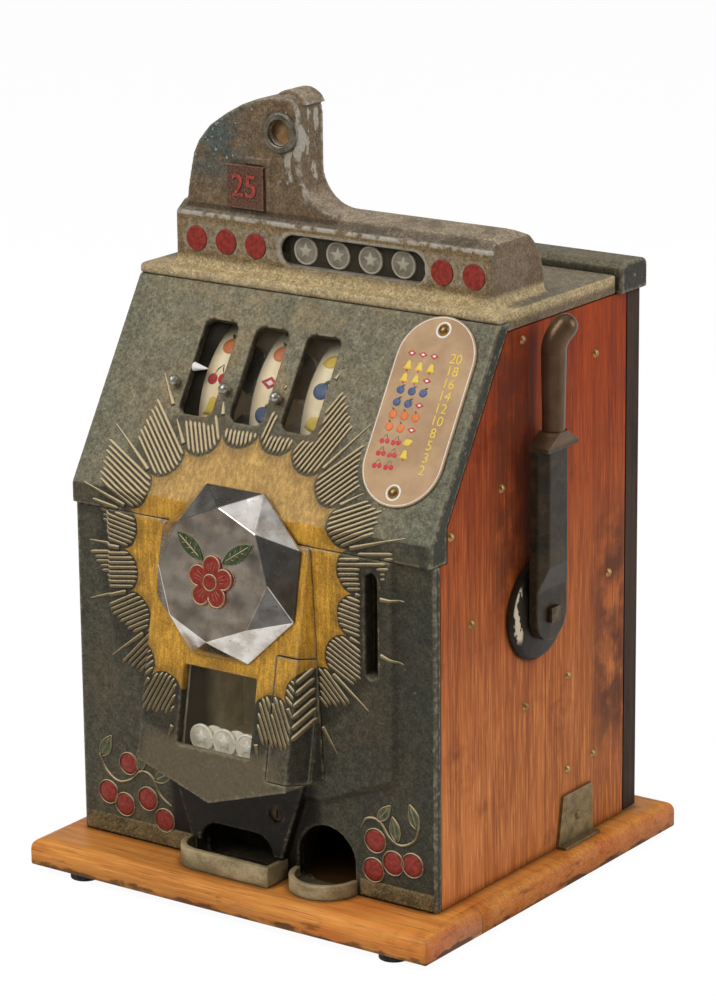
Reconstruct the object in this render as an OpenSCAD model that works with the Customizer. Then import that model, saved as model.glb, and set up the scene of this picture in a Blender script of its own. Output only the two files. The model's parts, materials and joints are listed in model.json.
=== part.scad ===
// Table-top three-reel slot machine: wooden cabinet, cast front, side handle, hinged back door.
// The front faces -Y, the handle is on the +X side, and Z = 0 is the surface under the feet.

/* [Base] */
// Width of the base board
base_w = 414; // [400:1:440]
// Depth of the base board
base_d = 390; // [380:1:420]
// Thickness of the base board
base_t = 24; // [20:0.5:30]
// Depth of the front cross board
batten_d = 82; // [60:1:110]
// Height of the feet
foot_h = 8; // [6:0.5:14]
// Radius of the feet
foot_r = 13; // [10:0.5:16]
// Distance from the side of the base to a foot's centre
foot_inset_x = 45; // [30:1:80]
// Distance from the front or back of the base to a foot's centre
foot_inset_y = 20; // [17:1:60]
// Radius of the stand bolt holes in the feet and base
bolt_r = 3.2; // [2.5:0.1:5]
// Depth of the stand bolt holes in the base board
bolt_depth = 16; // [10:1:18]

/* [Cabinet] */
// Width over the side panels
cab_w = 368; // [360:1:380]
// Distance from the front of the base to the lower casting
front_gap = 49; // [45:1:60]
// Depth from the lower casting's face to the back of the door
cab_d = 310; // [300:1:320]
// Thickness of the side panels
panel_t = 19; // [16:0.5:22]
// Thickness of the back door
door_t = 20; // [16:0.5:24]
// Gap between the back door and the cabinet
door_gap = 1; // [0.6:0.1:2]
// Clearance above and below the back door
door_play = 2; // [1:0.5:4]
// Height of the cleats' top above the base, which is where the mechanism stands
cleat_h = 158; // [150:1:165]
// Side of the square cleats under the mechanism
cleat_t = 15; // [10:1:20]

/* [Castings] */
// Height of the lower front casting
lower_h = 295; // [290:1:300]
// Thickness of the lower front casting
cast_t = 8; // [6:0.5:10]
// Height of the upright ledge under the sloped casting
ledge_h = 18; // [15:0.5:22]
// Overhang of the ledge in front of the lower casting
ledge_over = 5; // [4:0.5:7]
// Depth of the ledge where it covers the side panels
ledge_d = 23; // [20:0.5:28]
// Lean of the sloped casting from upright
slope_angle = 31.5; // [30:0.5:33]
// Length of the slope
slope_len = 190; // [186:1:194]
// Thickness of the sloped casting
plate_t = 8; // [6:0.5:9]
// Depth of the sloped casting's rim where it covers the side panels
rim_t = 14; // [12:0.5:18]
// Height of the top casting's front edge
top_t = 9; // [7:0.5:12]
// Height of the top casting's rim along the side panels
top_rim_h = 16.5; // [14:0.5:20]
// Depth of the rear cap
cap_d = 40; // [34:1:46]
// Height of the rear cap
cap_h = 26; // [22:0.5:30]
// Overhang of the rear cap at the sides
cap_over = 6; // [4:0.5:9]
// Overhang of the rear cap behind the door
cap_back = 2; // [1:0.5:4]

/* [Raised panel and jackpot] */
// Half width of the raised panel on the lower casting
panel_half = 150; // [144:1:156]
// Relief of the raised panel
panel_relief = 6; // [4:0.5:8]
// Width of the bevel round the raised panel
panel_bevel = 6; // [3:0.5:9]
// Height of the raised panel's outer lower corners above the base
panel_corner_h = 104; // [98:1:110]
// Height of the raised panel's inner lower corners above the base
panel_knee_h = 74; // [70:1:80]
// Distance of the inner lower corners from the jackpot's centre line
panel_knee_x = 84; // [80:1:90]
// Place of the jackpot's centre line across the machine
jackpot_x = -11; // [-16:1:-6]
// Forward lean of the jackpot front
jackpot_lean = 10.5; // [9.5:0.5:11.5]
// Step from the raised panel to the top of the jackpot front
jackpot_step = 3; // [2:0.5:5]
// Half width of the jackpot front at its folds
jackpot_half = 77; // [72:1:80]
// Outward slope of the jackpot's sides, sideways per unit of depth
jackpot_flare = 0.3; // [0.2:0.05:0.4]
// Height of the jackpot's lower tip above the base
tip_h = 72; // [68:1:76]
// Rise of the jackpot's lower edge, per unit across
tip_rise = 0.3; // [0.25:0.01:0.35]
// Width of the jackpot window
window_w = 75; // [70:1:80]
// Height of the jackpot window along its face
window_h = 68; // [62:1:72]
// Distance along the face from its top to the jackpot window
window_drop = 115; // [113:1:119]
// Thickness of the wall around the jackpot window
window_wall = 9; // [7:0.5:11]
// Margin of the jackpot glass around its window
glass_lap = 3; // [2:0.5:5]
// Thickness of the glass panes
glass_t = 2.5; // [2:0.5:4]
// Depth of the jackpot bin behind the raised panel
bin_d = 60; // [50:1:70]
// Wall of the jackpot bin
bin_wall = 2.5; // [2:0.5:4]
// Width of the access cover on the front of the jackpot
cover_w = 21; // [18:1:26]
// Height of the access cover
cover_h = 105; // [95:1:112]
// Distance along the face from its top to the access cover
cover_drop = 92; // [88:1:98]
// Depth of the access cover
cover_d = 24; // [20:1:28]
// Seam around the access cover
cover_seam = 0.4; // [0.3:0.1:0.8]

/* [Emblem] */
// Width of the emblem across its outer flats
emblem_w = 142; // [136:1:146]
// Width of the emblem's front face across its corners
emblem_face_w = 112; // [104:1:118]
// Height of the emblem's front face
emblem_h = 23; // [18:0.5:26]
// Thickness of the emblem's rim
emblem_rim = 2; // [1.5:0.5:4]
// Distance along the face from the jackpot front's top to the emblem's centre
emblem_drop = 33; // [31:1:36]
// Radius of a petal of the emblem's rosette
petal_r = 11; // [9:0.5:12]
// Relief of the inlays
inlay_t = 2.5; // [1.5:0.5:4]

/* [Payout] */
// Half width of the payout block at its top
block_top = 72; // [68:1:76]
// Half width of the payout block at its foot
block_foot = 47; // [44:1:50]
// Relief of the payout block
block_relief = 12; // [9:0.5:14]
// Half width of the payout arch
payout_half = 38; // [34:1:42]
// Height of the payout arch above the base
payout_arch_h = 38; // [34:1:42]
// Width of the payout cup
cup_w = 104; // [98:1:108]
// Shift of the payout cup to the left of the payout arch
cup_shift = 6; // [5:0.5:8]
// Reach of the payout cup in front of the lower casting
cup_reach = 31; // [27:1:36]
// Height of the payout cup
cup_h = 18; // [15:0.5:22]
// Wall of the cups
cup_wall = 5; // [4:0.5:6]
// Place of the round return cup across the machine
return_x = 74; // [70:1:78]
// Outer radius of the return cup
return_r = 32; // [31:0.5:35]
// Height of the return cup
return_h = 13; // [11:0.5:16]
// Radius of the return arch
return_arch_r = 29; // [26:0.5:30]
// Height of the return arch's springing above the base
return_arch_h = 25; // [22:0.5:28]
// Place of the jackpot lock across the machine
lock_x = 30; // [28:1:33]
// Height of the jackpot lock above the base
lock_h = 59; // [56:0.5:61]
// Radius of the lock plugs
lock_r = 7; // [6:0.25:8]
// Width of the coin tube's slot in the raised panel
slot_w = 12; // [10:0.5:14]
// Height of the coin tube's slot
slot_h = 90; // [80:1:96]
// Place of the coin tube across the machine
tube_x = 125; // [120:1:130]
// Inner radius of the coin tube
tube_r = 13.5; // [12.5:0.5:14]

/* [Reels] */
// Place of the middle reel across the machine
reel_x = -30; // [-33:1:-27]
// Distance between neighbouring reels
reel_pitch = 53; // [52:0.5:55]
// Radius of the reels
reel_r = 89; // [86:0.5:90]
// Width of a reel
reel_w = 27; // [24:0.5:32]
// Distance from the slope's outer face to the reels
reel_sink = 18; // [16:0.5:20]
// Radius of the reel shaft
reel_shaft_r = 6; // [5:0.5:8]
// Width of a reel window
view_w = 34; // [31:0.5:36]
// Length of a reel window along the slope
view_h = 85; // [78:1:90]
// Distance up the slope to the middle of the reel windows
view_s = 117; // [114:1:120]
// Number of stops on a reel
stops = 20; // [18:1:24]
// Outer radius of the star wheels
star_r = 45; // [40:1:50]

/* [Slope fittings] */
// Distance up the slope to the round studs
stud_s = 99.5; // [96:0.5:104]
// Distance from a reel's middle to its stud
stud_off = 25; // [24:0.5:27]
// Width of the award plate
award_w = 76; // [70:1:80]
// Length of the award plate
award_len = 164; // [156:1:168]
// Place of the award plate across the machine
award_x = 135; // [132:1:137]
// Distance that the award plate's end reaches past the slope's upper edge
award_lap = 1; // [0:0.5:3]
// Thickness of the award plate
award_t = 2.5; // [2:0.5:4]

/* [Escalator and coin head] */
// Left end of the escalator box
box_x0 = -153; // [-158:1:-150]
// Right end of the escalator box
box_x1 = 168; // [162:1:172]
// Distance from the top casting's front edge to the escalator box
box_set = 12; // [10:0.5:15]
// Depth of the escalator box
box_d = 80; // [74:1:86]
// Height of the escalator's front face above the top casting
box_h = 47; // [44:0.5:50]
// Height of the escalator's rounded back above its front face
box_crown = 12; // [8:0.5:15]
// Wall of the escalator box
box_wall = 4; // [3:0.5:5]
// Radius of the red studs
dot_r = 10.8; // [9.5:0.1:12]
// Middle of the escalator window across the machine
esc_x = 30; // [27:1:33]
// Width of the escalator window
esc_w = 146; // [138:1:150]
// Height of the escalator window
esc_h = 27; // [25.5:0.5:30]
// Height of the coin line above the top casting
coin_line = 25; // [23:0.5:27]
// Radius of a coin
coin_r = 12.1; // [11:0.1:12.5]
// Thickness of a coin
coin_t = 1.75; // [1.5:0.05:2.2]
// Distance between coins in the carrier
coin_pitch = 33; // [30:0.5:35]
// Depth of the coin head
head_d = 35; // [32:1:40]
// Height of the coin head above the top casting
head_h = 153; // [147:1:159]
// Place of the coin bezel across the machine
bezel_x = -45; // [-48:1:-43]
// Height of the coin bezel above the top casting
bezel_h = 123; // [120:1:126]
// Outer radius of the coin bezel
bezel_r = 18; // [16:0.5:20]
// Radius of the coin lens
lens_r = 11; // [9:0.5:12]

/* [Handle] */
// Height of the handle's pivot above the base
pivot_h = 223; // [218:1:226]
// Place of the handle's pivot from front to back
pivot_y = 0; // [-4:1:4]
// Radius of the handle's escutcheon
plate_r = 42; // [38:0.5:46]
// Thickness of the handle's escutcheon
plate_h = 9; // [7:0.5:11]
// Radius of the handle shaft
shaft_r = 9; // [7:0.5:11]
// Radius of the handle arm's lower end
arm_r = 23; // [20:0.5:25]
// Thickness of the handle arm's lower end
arm_t = 8.5; // [7:0.5:10]
// Thickness of the handle arm's upper part
arm_thick = 16; // [14:0.5:18]
// Length of the handle arm from pivot to shoulder
arm_len = 143; // [136:1:148]
// Radius of the grip
grip_r = 10.6; // [9.6:0.2:12]
// Radius of the grip at its foot
grip_waist = 9.2; // [8:0.2:9.6]
// Length of the grip's straight part
grip_len = 80; // [72:1:88]
// Radius of the grip's bend
grip_bend_r = 25; // [20:1:30]
// Angle of the grip's bend
grip_bend = 40; // [30:1:55]
// Length of the crank on the handle shaft
crank_len = 46; // [40:1:52]

/* [Hidden] */
$fn = 64;

// Main planes
half_w = cab_w / 2;
inner_w = half_w - panel_t;
z_base = foot_h + base_t;
y_front = front_gap - base_d / 2;
y_back = y_front + cab_d;
y_door = y_back - door_t;
y_panel_end = y_door - door_gap;
z_ledge = z_base + lower_h;
y_slope = y_front - ledge_over;
z_slope = z_ledge + ledge_h;
y_seam = y_slope + slope_len * sin(slope_angle);
award_s = slope_len + award_lap - award_len / 2;
z_seam = z_slope + slope_len * cos(slope_angle);
z_top = z_seam + top_t;
z_side_top = z_top - top_rim_h;
y_cap = y_back + cap_back - cap_d;
z_mech = z_base + cleat_h;

// Rear line of the sloped casting's rim, as depth at a given height
function rim_y(z) = y_slope + rim_t / cos(slope_angle) + (z - z_slope) * tan(slope_angle);
y_ledge_back = y_slope + ledge_d;
z_ledge_back = z_slope + (ledge_d - rim_t / cos(slope_angle)) / tan(slope_angle);

// Jackpot front: its upper line and the bottom edge's height across the machine
y_raised = y_front - panel_relief;
y_jackpot = y_raised - jackpot_step;
z_jackpot = z_ledge;
function tip_z(dx) = z_base + tip_h + tip_rise * abs(dx);
jackpot_reach = 60;
bin_half = window_w / 2 + glass_lap;
bin_top = z_jackpot - (window_drop - glass_lap) * cos(jackpot_lean);
bin_sink = 9;
bin_foot = z_jackpot - (window_drop + window_h + glass_lap + bin_sink) * cos(jackpot_lean);

// Reel axis, behind the middle of the windows
reel_depth = reel_sink + reel_r;
reel_y = y_slope + view_s * sin(slope_angle) + reel_depth * cos(slope_angle);
reel_z = z_slope + view_s * cos(slope_angle) - reel_depth * sin(slope_angle);
reel_hub = reel_pitch - 3;
star_t = 4;
star_off = reel_w / 2 + 1.5;
run_fit = 0.05;

// Mechanism frames stand outside the outer reels
frame_t = 4;
frame_gap = 9;
frame_x0 = reel_x - reel_pitch - reel_hub / 2 - frame_gap - frame_t;
frame_x1 = reel_x + reel_pitch + reel_hub / 2 + frame_gap;
lever_shaft_r = 5;
lever_back = 118;
lever_drop = 91;
lever_y = reel_y + lever_back;
lever_z = reel_z - lever_drop;
lever_reach = norm([lever_y - reel_y, lever_z - reel_z]) - star_r - 1.5;

// Clock wheel and governor pinion
gear_module = 1.25;
wheel_teeth = 48;
pinion_teeth = 12;
gear_gap = gear_module * (wheel_teeth + pinion_teeth) / 2;
clock_y = reel_y + 45;
clock_z = z_mech + 58;
clock_x = frame_x1 + frame_t + 2;
gear_t = 4;

// Escalator box
y_box = y_seam + box_set;
z_box = z_top + box_h;
z_coin = z_top + coin_line;
coin_count = 5;
carrier_lap = 0.5;
z_carrier = z_coin - coin_r - carrier_lap;
coin_x0 = esc_x - 52;
y_esc_glass = y_box + box_wall;
y_esc_coin = y_esc_glass + glass_t + 0.6;
carrier_t = 2.5;

// Coin head
y_head = y_box + 5;
z_head = z_top + head_h;
head_x0 = box_x0 + 6;
head_x1 = bezel_x + bezel_r + 1;
lens_sink = 7;

// Handle
bush_r = shaft_r + 5;
bush_out = 1;
z_pivot = z_base + pivot_h;
x_arm = half_w + plate_h + 0.5;
x_grip = x_arm + arm_thick / 2 + 1;
z_arm_top = z_pivot + arm_len;
shaft_in = 118;
crank_t = 8;
spring_r = 13;
spring_wire = 1.3;
spring_turns = 6;
spring_x0 = shaft_in + crank_t + 5;
spring_x1 = inner_w - bush_out - 0.3;

// Hinges of the back door
hinge_r = 3;
hinge_pin_r = 1.5;
hinge_leaf = 2;
hinge_x = -half_w - hinge_r - 0.4;
hinge_y = y_panel_end + door_gap / 2;
hinge_len = 60;
hinge_z = [z_base + 80, z_side_top - 80 - hinge_len];
knuckle = hinge_len / 3;
knuckle_gap = 0.4;

// Lock of the back door; its cam turns into a pocket in the right side panel
cam_reach = 27;
cam_w = 10;
cam_t = 3;
cam_play = 1;
door_lock_x = inner_w - 21;
door_lock_z = z_base + lower_h;
y_cam = y_door - 12;

// Cash box and payout slides
cash = [140, 110, 96];
cash_wall = 3;
cash_x = jackpot_x - cash[0] / 2;
cash_y = y_panel_end - 12 - cash[1];
guide = [96, 96, 34];
guide_x = reel_x - guide[0] / 2;
guide_y = reel_y - 52;
slide_t = 6;
slide_gap = 0.3;

// Colours
paint = [0.24, 0.26, 0.22];
gold = [0.62, 0.49, 0.2];
silver = [0.74, 0.74, 0.75];
steel = [0.45, 0.45, 0.46];
iron = [0.25, 0.23, 0.21];
red = [0.62, 0.12, 0.1];
green = [0.2, 0.3, 0.2];
oak = [0.65, 0.33, 0.14];
base_oak = [0.78, 0.45, 0.17];
brass = [0.7, 0.56, 0.3];
clear = [0.8, 0.85, 0.85, 0.4];

// Extrudes an outline drawn in depth and height along the width
module along_x(x0, x1) {
    translate([x0, 0, 0]) rotate([90, 0, 90]) linear_extrude(x1 - x0) children();
}

// Extrudes an outline drawn in width and height along the depth
module along_y(y0, y1) {
    translate([0, y1, 0]) rotate([90, 0, 0]) linear_extrude(y1 - y0) children();
}

// Frame on a leaning face: X across, Y up the face, Z out of it
module on_face(y, z, lean) {
    translate([0, y, z]) rotate([90 - lean, 0, 0]) children();
}

module on_slope() {
    on_face(y_slope, z_slope, slope_angle) children();
}

module on_jackpot() {
    translate([jackpot_x, 0, 0]) on_face(y_jackpot, z_jackpot, jackpot_lean) children();
}

// Rounded rectangle about the origin
module round_rect(w, h, r) {
    square([w - 2 * r, h], center = true);
    square([w, h - 2 * r], center = true);
    for (sx = [-1, 1]) for (sy = [-1, 1]) {
        translate([sx * (w / 2 - r), sy * (h / 2 - r)]) circle(r);
    }
}

// Stadium standing on end
module stadium(w, h) {
    square([w, h - w], center = true);
    for (s = [-1, 1]) translate([0, s * (h - w) / 2]) circle(w / 2);
}

// Gear outline: each tooth is a trapezoid, with a tooth on the +X axis
function gear_points(n, root, tip, foot_share, tip_share) = [
    for (i = [0 : n - 1]) for (p = [[-foot_share, root], [-tip_share, tip], [tip_share, tip],
        [foot_share, root]])
        let (a = (i + p[0]) * 360 / n) [p[1] * cos(a), p[1] * sin(a)]
];

// Tube of round section swept through a list of points, with its ring normals
module sweep(points, ring_at, sides) {
    rings = [for (i = [0 : len(points) - 1]) for (k = [0 : sides - 1]) ring_at(i, k)];
    n = len(points);
    walls = [for (i = [0 : n - 2]) for (k = [0 : sides - 1]) for (f = [0, 1])
        let (a = i * sides + k, b = i * sides + (k + 1) % sides)
        f == 0 ? [a, b, b + sides] : [a, b + sides, a + sides]];
    caps = [for (k = [1 : sides - 2]) for (f = [0, 1])
        f == 0 ? [0, k + 1, k] : [(n - 1) * sides, (n - 1) * sides + k, (n - 1) * sides + k + 1]];
    polyhedron(rings, concat(walls, caps));
}

// Low round screw head standing on a face, with its flat side at Z = 0
module dome(r, h) {
    ball = (r * r + h * h) / (2 * h);
    intersection() {
        translate([0, 0, h - ball]) sphere(ball);
        cylinder(h = h, r = r);
    }
}

// Base

module base_solid() {
    r = base_t / 2;
    cx = base_w / 2 - r;
    cy = base_d / 2 - r;
    translate([-cx, -cy, foot_h]) cube([2 * cx, 2 * cy, base_t]);
    for (s = [-1, 1]) {
        translate([s * cx, -cy, foot_h + r]) rotate([-90, 0, 0]) cylinder(h = 2 * cy, r = r);
        translate([-cx, s * cy, foot_h + r]) rotate([0, 90, 0]) cylinder(h = 2 * cx, r = r);
        for (t = [-1, 1]) translate([s * cx, t * cy, foot_h + r]) sphere(r);
    }
}

module at_feet() {
    for (s = [-1, 1]) for (t = [-1, 1]) {
        translate([s * (base_w / 2 - foot_inset_x), t * (base_d / 2 - foot_inset_y), 0]) children();
    }
}

module bolt_holes() {
    at_feet() translate([0, 0, -1]) cylinder(h = foot_h + bolt_depth + 1, r = bolt_r);
}

y_batten = batten_d - base_d / 2;

module base_board() {
    color(base_oak) difference() {
        base_solid();
        translate([-base_w, y_batten - 2 * base_d, -base_t]) cube([2 * base_w, 2 * base_d, 4 * base_t]);
        bolt_holes();
    }
}

module base_front_batten() {
    color(base_oak) difference() {
        base_solid();
        translate([-base_w, y_batten, -base_t]) cube([2 * base_w, 2 * base_d, 4 * base_t]);
        bolt_holes();
    }
}

module base_feet() {
    color(iron) difference() {
        at_feet() cylinder(h = foot_h, r = foot_r);
        bolt_holes();
    }
}

// Cabinet

panel_outline = [[y_front + cast_t, z_base], [y_panel_end, z_base], [y_panel_end, z_side_top],
    [rim_y(z_side_top), z_side_top], [y_ledge_back, z_ledge_back], [y_ledge_back, z_ledge],
    [y_front + cast_t, z_ledge]];

y_mech0 = reel_y - 58;
y_mech1 = y_panel_end - 11;

module side_panel() {
    along_x(inner_w, half_w) polygon(panel_outline);
    translate([inner_w - cleat_t, y_mech0, z_mech - cleat_t]) cube([cleat_t, y_mech1 - y_mech0, cleat_t]);
}

module left_side_panel() {
    color(oak) mirror([1, 0, 0]) side_panel();
}

module right_side_panel() {
    color(oak) difference() {
        side_panel();
        translate([door_lock_x, y_cam - cam_play, door_lock_z]) rotate([-90, 0, 0])
            cylinder(h = cam_t + 2 * cam_play, r = norm([cam_reach, cam_w / 2]) + cam_play);
        translate([inner_w - 1, pivot_y, z_pivot]) rotate([0, 90, 0])
            cylinder(h = panel_t + 2, r = bush_r + run_fit);
    }
}

// Screws of the side panels as distances behind the casting's face and above the base
side_screws = [[128, 457], [240, 423], [97, 339], [263, 226], [53, 235], [199, 151], [133, 142], [240, 69],
    [199, 67], [23, 316]];
side_screw_r = 4;
side_screw_h = 2.5;
award_screw_r = 5;

module round_head_screws() {
    color(brass) {
        for (s = [-1, 1]) for (p = side_screws) {
            translate([s * half_w, y_front + p[0], z_base + p[1]]) rotate([0, s * 90, 0])
                dome(side_screw_r, side_screw_h);
        }
        on_slope() for (s = [-1, 1]) {
            translate([award_x, award_s + s * (award_len / 2 - 12), award_t]) dome(award_screw_r, 3);
        }
    }
}

clip = [45, 45, 2.5];
clip_set = 182;
clip_y = y_front + clip_set;
clip_foot = 10;
clip_spread = 10;
clip_slant = 8;

module corner_clips() {
    color(brass) for (s = [-1, 1]) {
        mirror([s < 0 ? 1 : 0, 0, 0]) {
            along_x(half_w, half_w + clip[2]) polygon([[clip_y, z_base],
                [clip_y + clip[0] + clip_spread, z_base], [clip_y + clip[0] + clip_slant, z_base + clip[1]],
                [clip_y + clip_slant, z_base + clip[1]]]);
            translate([half_w, clip_y, z_base]) cube([clip_foot, clip[0] + clip_spread, clip[2]]);
            translate([half_w + clip[2], clip_y + 30, z_base + clip[1] / 2]) rotate([0, 90, 0])
                dome(side_screw_r, side_screw_h);
        }
    }
}

cap_round = 7;

module rear_cap() {
    color(paint) along_x(-half_w - cap_over, half_w + cap_over) {
        translate([y_cap + cap_d / 2, z_side_top + cap_h / 2]) round_rect(cap_d, cap_h, cap_round);
        translate([y_cap, z_side_top]) square([cap_d, cap_h / 2]);
    }
}

// Lower front casting

panel_mid_h = panel_knee_h - 4;

module raised_outline(inset) {
    side = panel_half - inset;
    lift = z_base + inset;
    polygon([[-side, z_ledge], [-side, lift + panel_corner_h],
        [jackpot_x - panel_knee_x, lift + panel_knee_h],
        [jackpot_x, lift + panel_mid_h], [jackpot_x + panel_knee_x, lift + panel_knee_h],
        [side, lift + panel_corner_h], [side, z_ledge]]);
}

// Panel with bevelled sides and foot, whose skin is a thin slice at each level
module raised_panel() {
    slice = 0.1;
    hull() {
        along_y(y_front, y_front + slice) raised_outline(0);
        along_y(y_raised, y_raised + slice) raised_outline(panel_bevel);
    }
}

block_foot_h = cup_h + 2;

module block_outline() {
    polygon([[jackpot_x - block_top, tip_z(block_top)], [jackpot_x, tip_z(0)],
        [jackpot_x + block_top, tip_z(block_top)], [jackpot_x + block_foot, z_base + block_foot_h],
        [jackpot_x - block_foot, z_base + block_foot_h]]);
}

// Low arch with round shoulders over the payout cup
module payout_arch() {
    shoulder = payout_half / 2;
    translate([jackpot_x, z_base]) {
        translate([-payout_half, cup_wall]) square([2 * payout_half, payout_arch_h - cup_wall - shoulder]);
        intersection() {
            for (s = [-1, 1]) translate([s * (payout_half - shoulder), payout_arch_h - shoulder])
                circle(shoulder);
            translate([-payout_half, cup_wall]) square([2 * payout_half, payout_arch_h]);
        }
        translate([-payout_half + shoulder, cup_wall])
            square([2 * (payout_half - shoulder), payout_arch_h - cup_wall]);
    }
}

module return_arch() {
    translate([return_x, z_base]) {
        translate([-return_arch_r, cup_wall]) square([2 * return_arch_r, return_arch_h - cup_wall]);
        translate([0, return_arch_h]) circle(return_arch_r);
    }
}

slot_z = z_ledge - 12 - slot_h / 2;

module bin_space(grow) {
    translate([jackpot_x - bin_half - grow, y_jackpot - jackpot_reach, bin_foot - grow])
        cube([2 * (bin_half + grow), jackpot_reach + bin_d + cast_t, bin_top - bin_foot + 2 * grow]);
}

module lock_bore(r) {
    translate([lock_x, y_front - block_relief - 1, z_base + lock_h]) rotate([-90, 0, 0])
        cylinder(h = block_relief + cast_t + 2, r = r);
}

module lower_front_casting() {
    color(paint) difference() {
        union() {
            translate([-half_w, y_front, z_base]) cube([cab_w, cast_t, lower_h]);
            raised_panel();
            along_y(y_front - block_relief, y_front) block_outline();
        }
        bin_space(run_fit);
        along_y(y_front - 2 * block_relief, y_front + 2 * cast_t) payout_arch();
        along_y(y_front - 2 * block_relief, y_front + 2 * cast_t) return_arch();
        along_y(y_front - 2 * block_relief, y_front + 2 * cast_t)
            translate([tube_x, slot_z]) stadium(slot_w, slot_h);
        lock_bore(lock_r + run_fit);
    }
}

// Jackpot front

// Leaning wedge in front of the raised panel, cut to a shallow V below
module jackpot_wedge() {
    wide = jackpot_half + jackpot_flare * jackpot_reach;
    fall = 2 * (z_jackpot - tip_z(0));
    intersection() {
        on_jackpot() rotate([90, 0, 0]) linear_extrude(fall) polygon([[-jackpot_half, 0], [jackpot_half, 0],
            [wide, -jackpot_reach], [-wide, -jackpot_reach]]);
        along_y(y_jackpot - 2 * jackpot_reach, y_raised) polygon([[jackpot_x - 2 * wide, z_jackpot],
            [jackpot_x - 2 * wide, tip_z(2 * wide)], [jackpot_x, tip_z(0)],
            [jackpot_x + 2 * wide, tip_z(2 * wide)], [jackpot_x + 2 * wide, z_jackpot]]);
    }
}

module cover_zone(grow) {
    on_jackpot() translate([jackpot_half - cover_w - grow, -cover_drop - cover_h - grow, -cover_d - grow])
        cube([2 * cover_w, cover_h + 2 * grow, 2 * cover_d]);
}

// Space for the bin behind the window wall
module bin_pocket() {
    intersection() {
        bin_space(run_fit);
        on_jackpot() translate([-jackpot_reach * 2, -z_jackpot, -window_wall - 4 * jackpot_reach])
            cube([4 * jackpot_reach, 2 * z_jackpot, 4 * jackpot_reach]);
    }
}

module jackpot_front() {
    color(paint) difference() {
        jackpot_wedge();
        cover_zone(cover_seam);
        bin_pocket();
        on_jackpot() translate([-window_w / 2, -window_drop - window_h, -2 * window_wall])
            cube([window_w, window_h, 4 * window_wall]);
    }
}

module access_cover() {
    color(gold) intersection() {
        jackpot_wedge();
        cover_zone(0);
    }
}

module jackpot_glass() {
    color(clear) intersection() {
        bin_space(0);
        on_jackpot() translate([-bin_half, -window_drop - window_h - glass_lap, -window_wall - glass_t])
            cube([2 * bin_half, window_h + 2 * glass_lap, glass_t]);
    }
}

module behind_glass() {
    on_jackpot() translate([-jackpot_reach * 2, -z_jackpot, -window_wall - glass_t - 4 * jackpot_reach])
        cube([4 * jackpot_reach, 2 * z_jackpot, 4 * jackpot_reach]);
}

y_bin_back = y_raised + bin_d;

module jackpot_bin() {
    color(steel) intersection() {
        behind_glass();
        difference() {
            translate([jackpot_x - bin_half, y_jackpot - jackpot_reach, bin_foot])
                cube([2 * bin_half, y_bin_back - y_jackpot + jackpot_reach, bin_top - bin_foot]);
            translate([jackpot_x - bin_half + bin_wall, y_jackpot - 2 * jackpot_reach, bin_foot + bin_wall])
                cube([2 * (bin_half - bin_wall), y_bin_back - y_jackpot + 2 * jackpot_reach - bin_wall,
                    bin_top - bin_foot - 2 * bin_wall]);
        }
    }
}

module coin() {
    rotate([-90, 0, 0]) cylinder(h = coin_t, r = coin_r);
}

pile = 5;
pile_y = y_jackpot - (z_jackpot - bin_foot) * tan(jackpot_lean) + window_wall + glass_t + 7;
pile_step = 2 * (bin_half - bin_wall - coin_r - 2) / (pile - 1);

module jackpot_coins() {
    color(silver) for (i = [0 : pile - 1]) {
        translate([jackpot_x - (pile - 1) * pile_step / 2 + i * pile_step, pile_y + (i % 2) * (coin_t + 0.6),
            bin_foot + bin_wall + coin_r + 0.2]) coin();
    }
}

tube_wall = 2;
tube_y = y_front + cast_t + tube_wall + tube_r;
tube_foot = slot_z - slot_h / 2 - 15;
tube_h = slot_h + 27;

module coin_tube() {
    color(brass) difference() {
        union() {
            translate([tube_x, tube_y, tube_foot]) cylinder(h = tube_h, r = tube_r + tube_wall);
            translate([tube_x - tube_r, y_front + cast_t, tube_foot]) cube([2 * tube_r, tube_r, tube_h]);
        }
        translate([tube_x, tube_y, tube_foot + tube_wall]) cylinder(h = tube_h, r = tube_r);
        along_y(y_front, tube_y) translate([tube_x, slot_z]) stadium(slot_w, slot_h);
    }
}

// Emblem: eight-sided boss whose face is turned half a step against its rim, with inlays

module on_emblem() {
    on_jackpot() translate([0, -emblem_drop, 0]) children();
}

module emblem() {
    rim_r = emblem_w / 2 / cos(22.5);
    color(silver) on_emblem() hull() {
        rotate(22.5) cylinder(h = emblem_rim, r = rim_r, $fn = 8);
        translate([0, 0, emblem_h - 0.2]) cylinder(h = 0.2, r = emblem_face_w / 2, $fn = 8);
    }
}

petals = 5;
rosette_y = -6;
leaf_len = 34;
leaf_w = 13;

module emblem_rosette() {
    color(red) on_emblem() translate([0, rosette_y, emblem_h]) {
        cylinder(h = inlay_t + 0.5, r = petal_r / 2);
        linear_extrude(inlay_t) {
            circle(petal_r * 0.7);
            for (i = [0 : petals - 1]) rotate(90 + i * 360 / petals) translate([petal_r * 1.25, 0])
                circle(petal_r * 0.85);
        }
    }
}

// Pointed leaf from two crossing arcs
module leaf(len, w) {
    r = (len * len / 4 + w * w / 4) / w;
    intersection() {
        translate([0, r - w / 2]) circle(r);
        translate([0, w / 2 - r]) circle(r);
    }
}

leaf_at = [24, 27];

module emblem_leaves() {
    color(green) on_emblem() for (s = [-1, 1]) {
        translate([s * leaf_at[0], rosette_y + leaf_at[1], emblem_h]) rotate(s * 35)
            linear_extrude(inlay_t) leaf(leaf_len, leaf_w);
    }
}

// Cups

cup_round = 26;
cup_x = jackpot_x - cup_shift;

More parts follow.
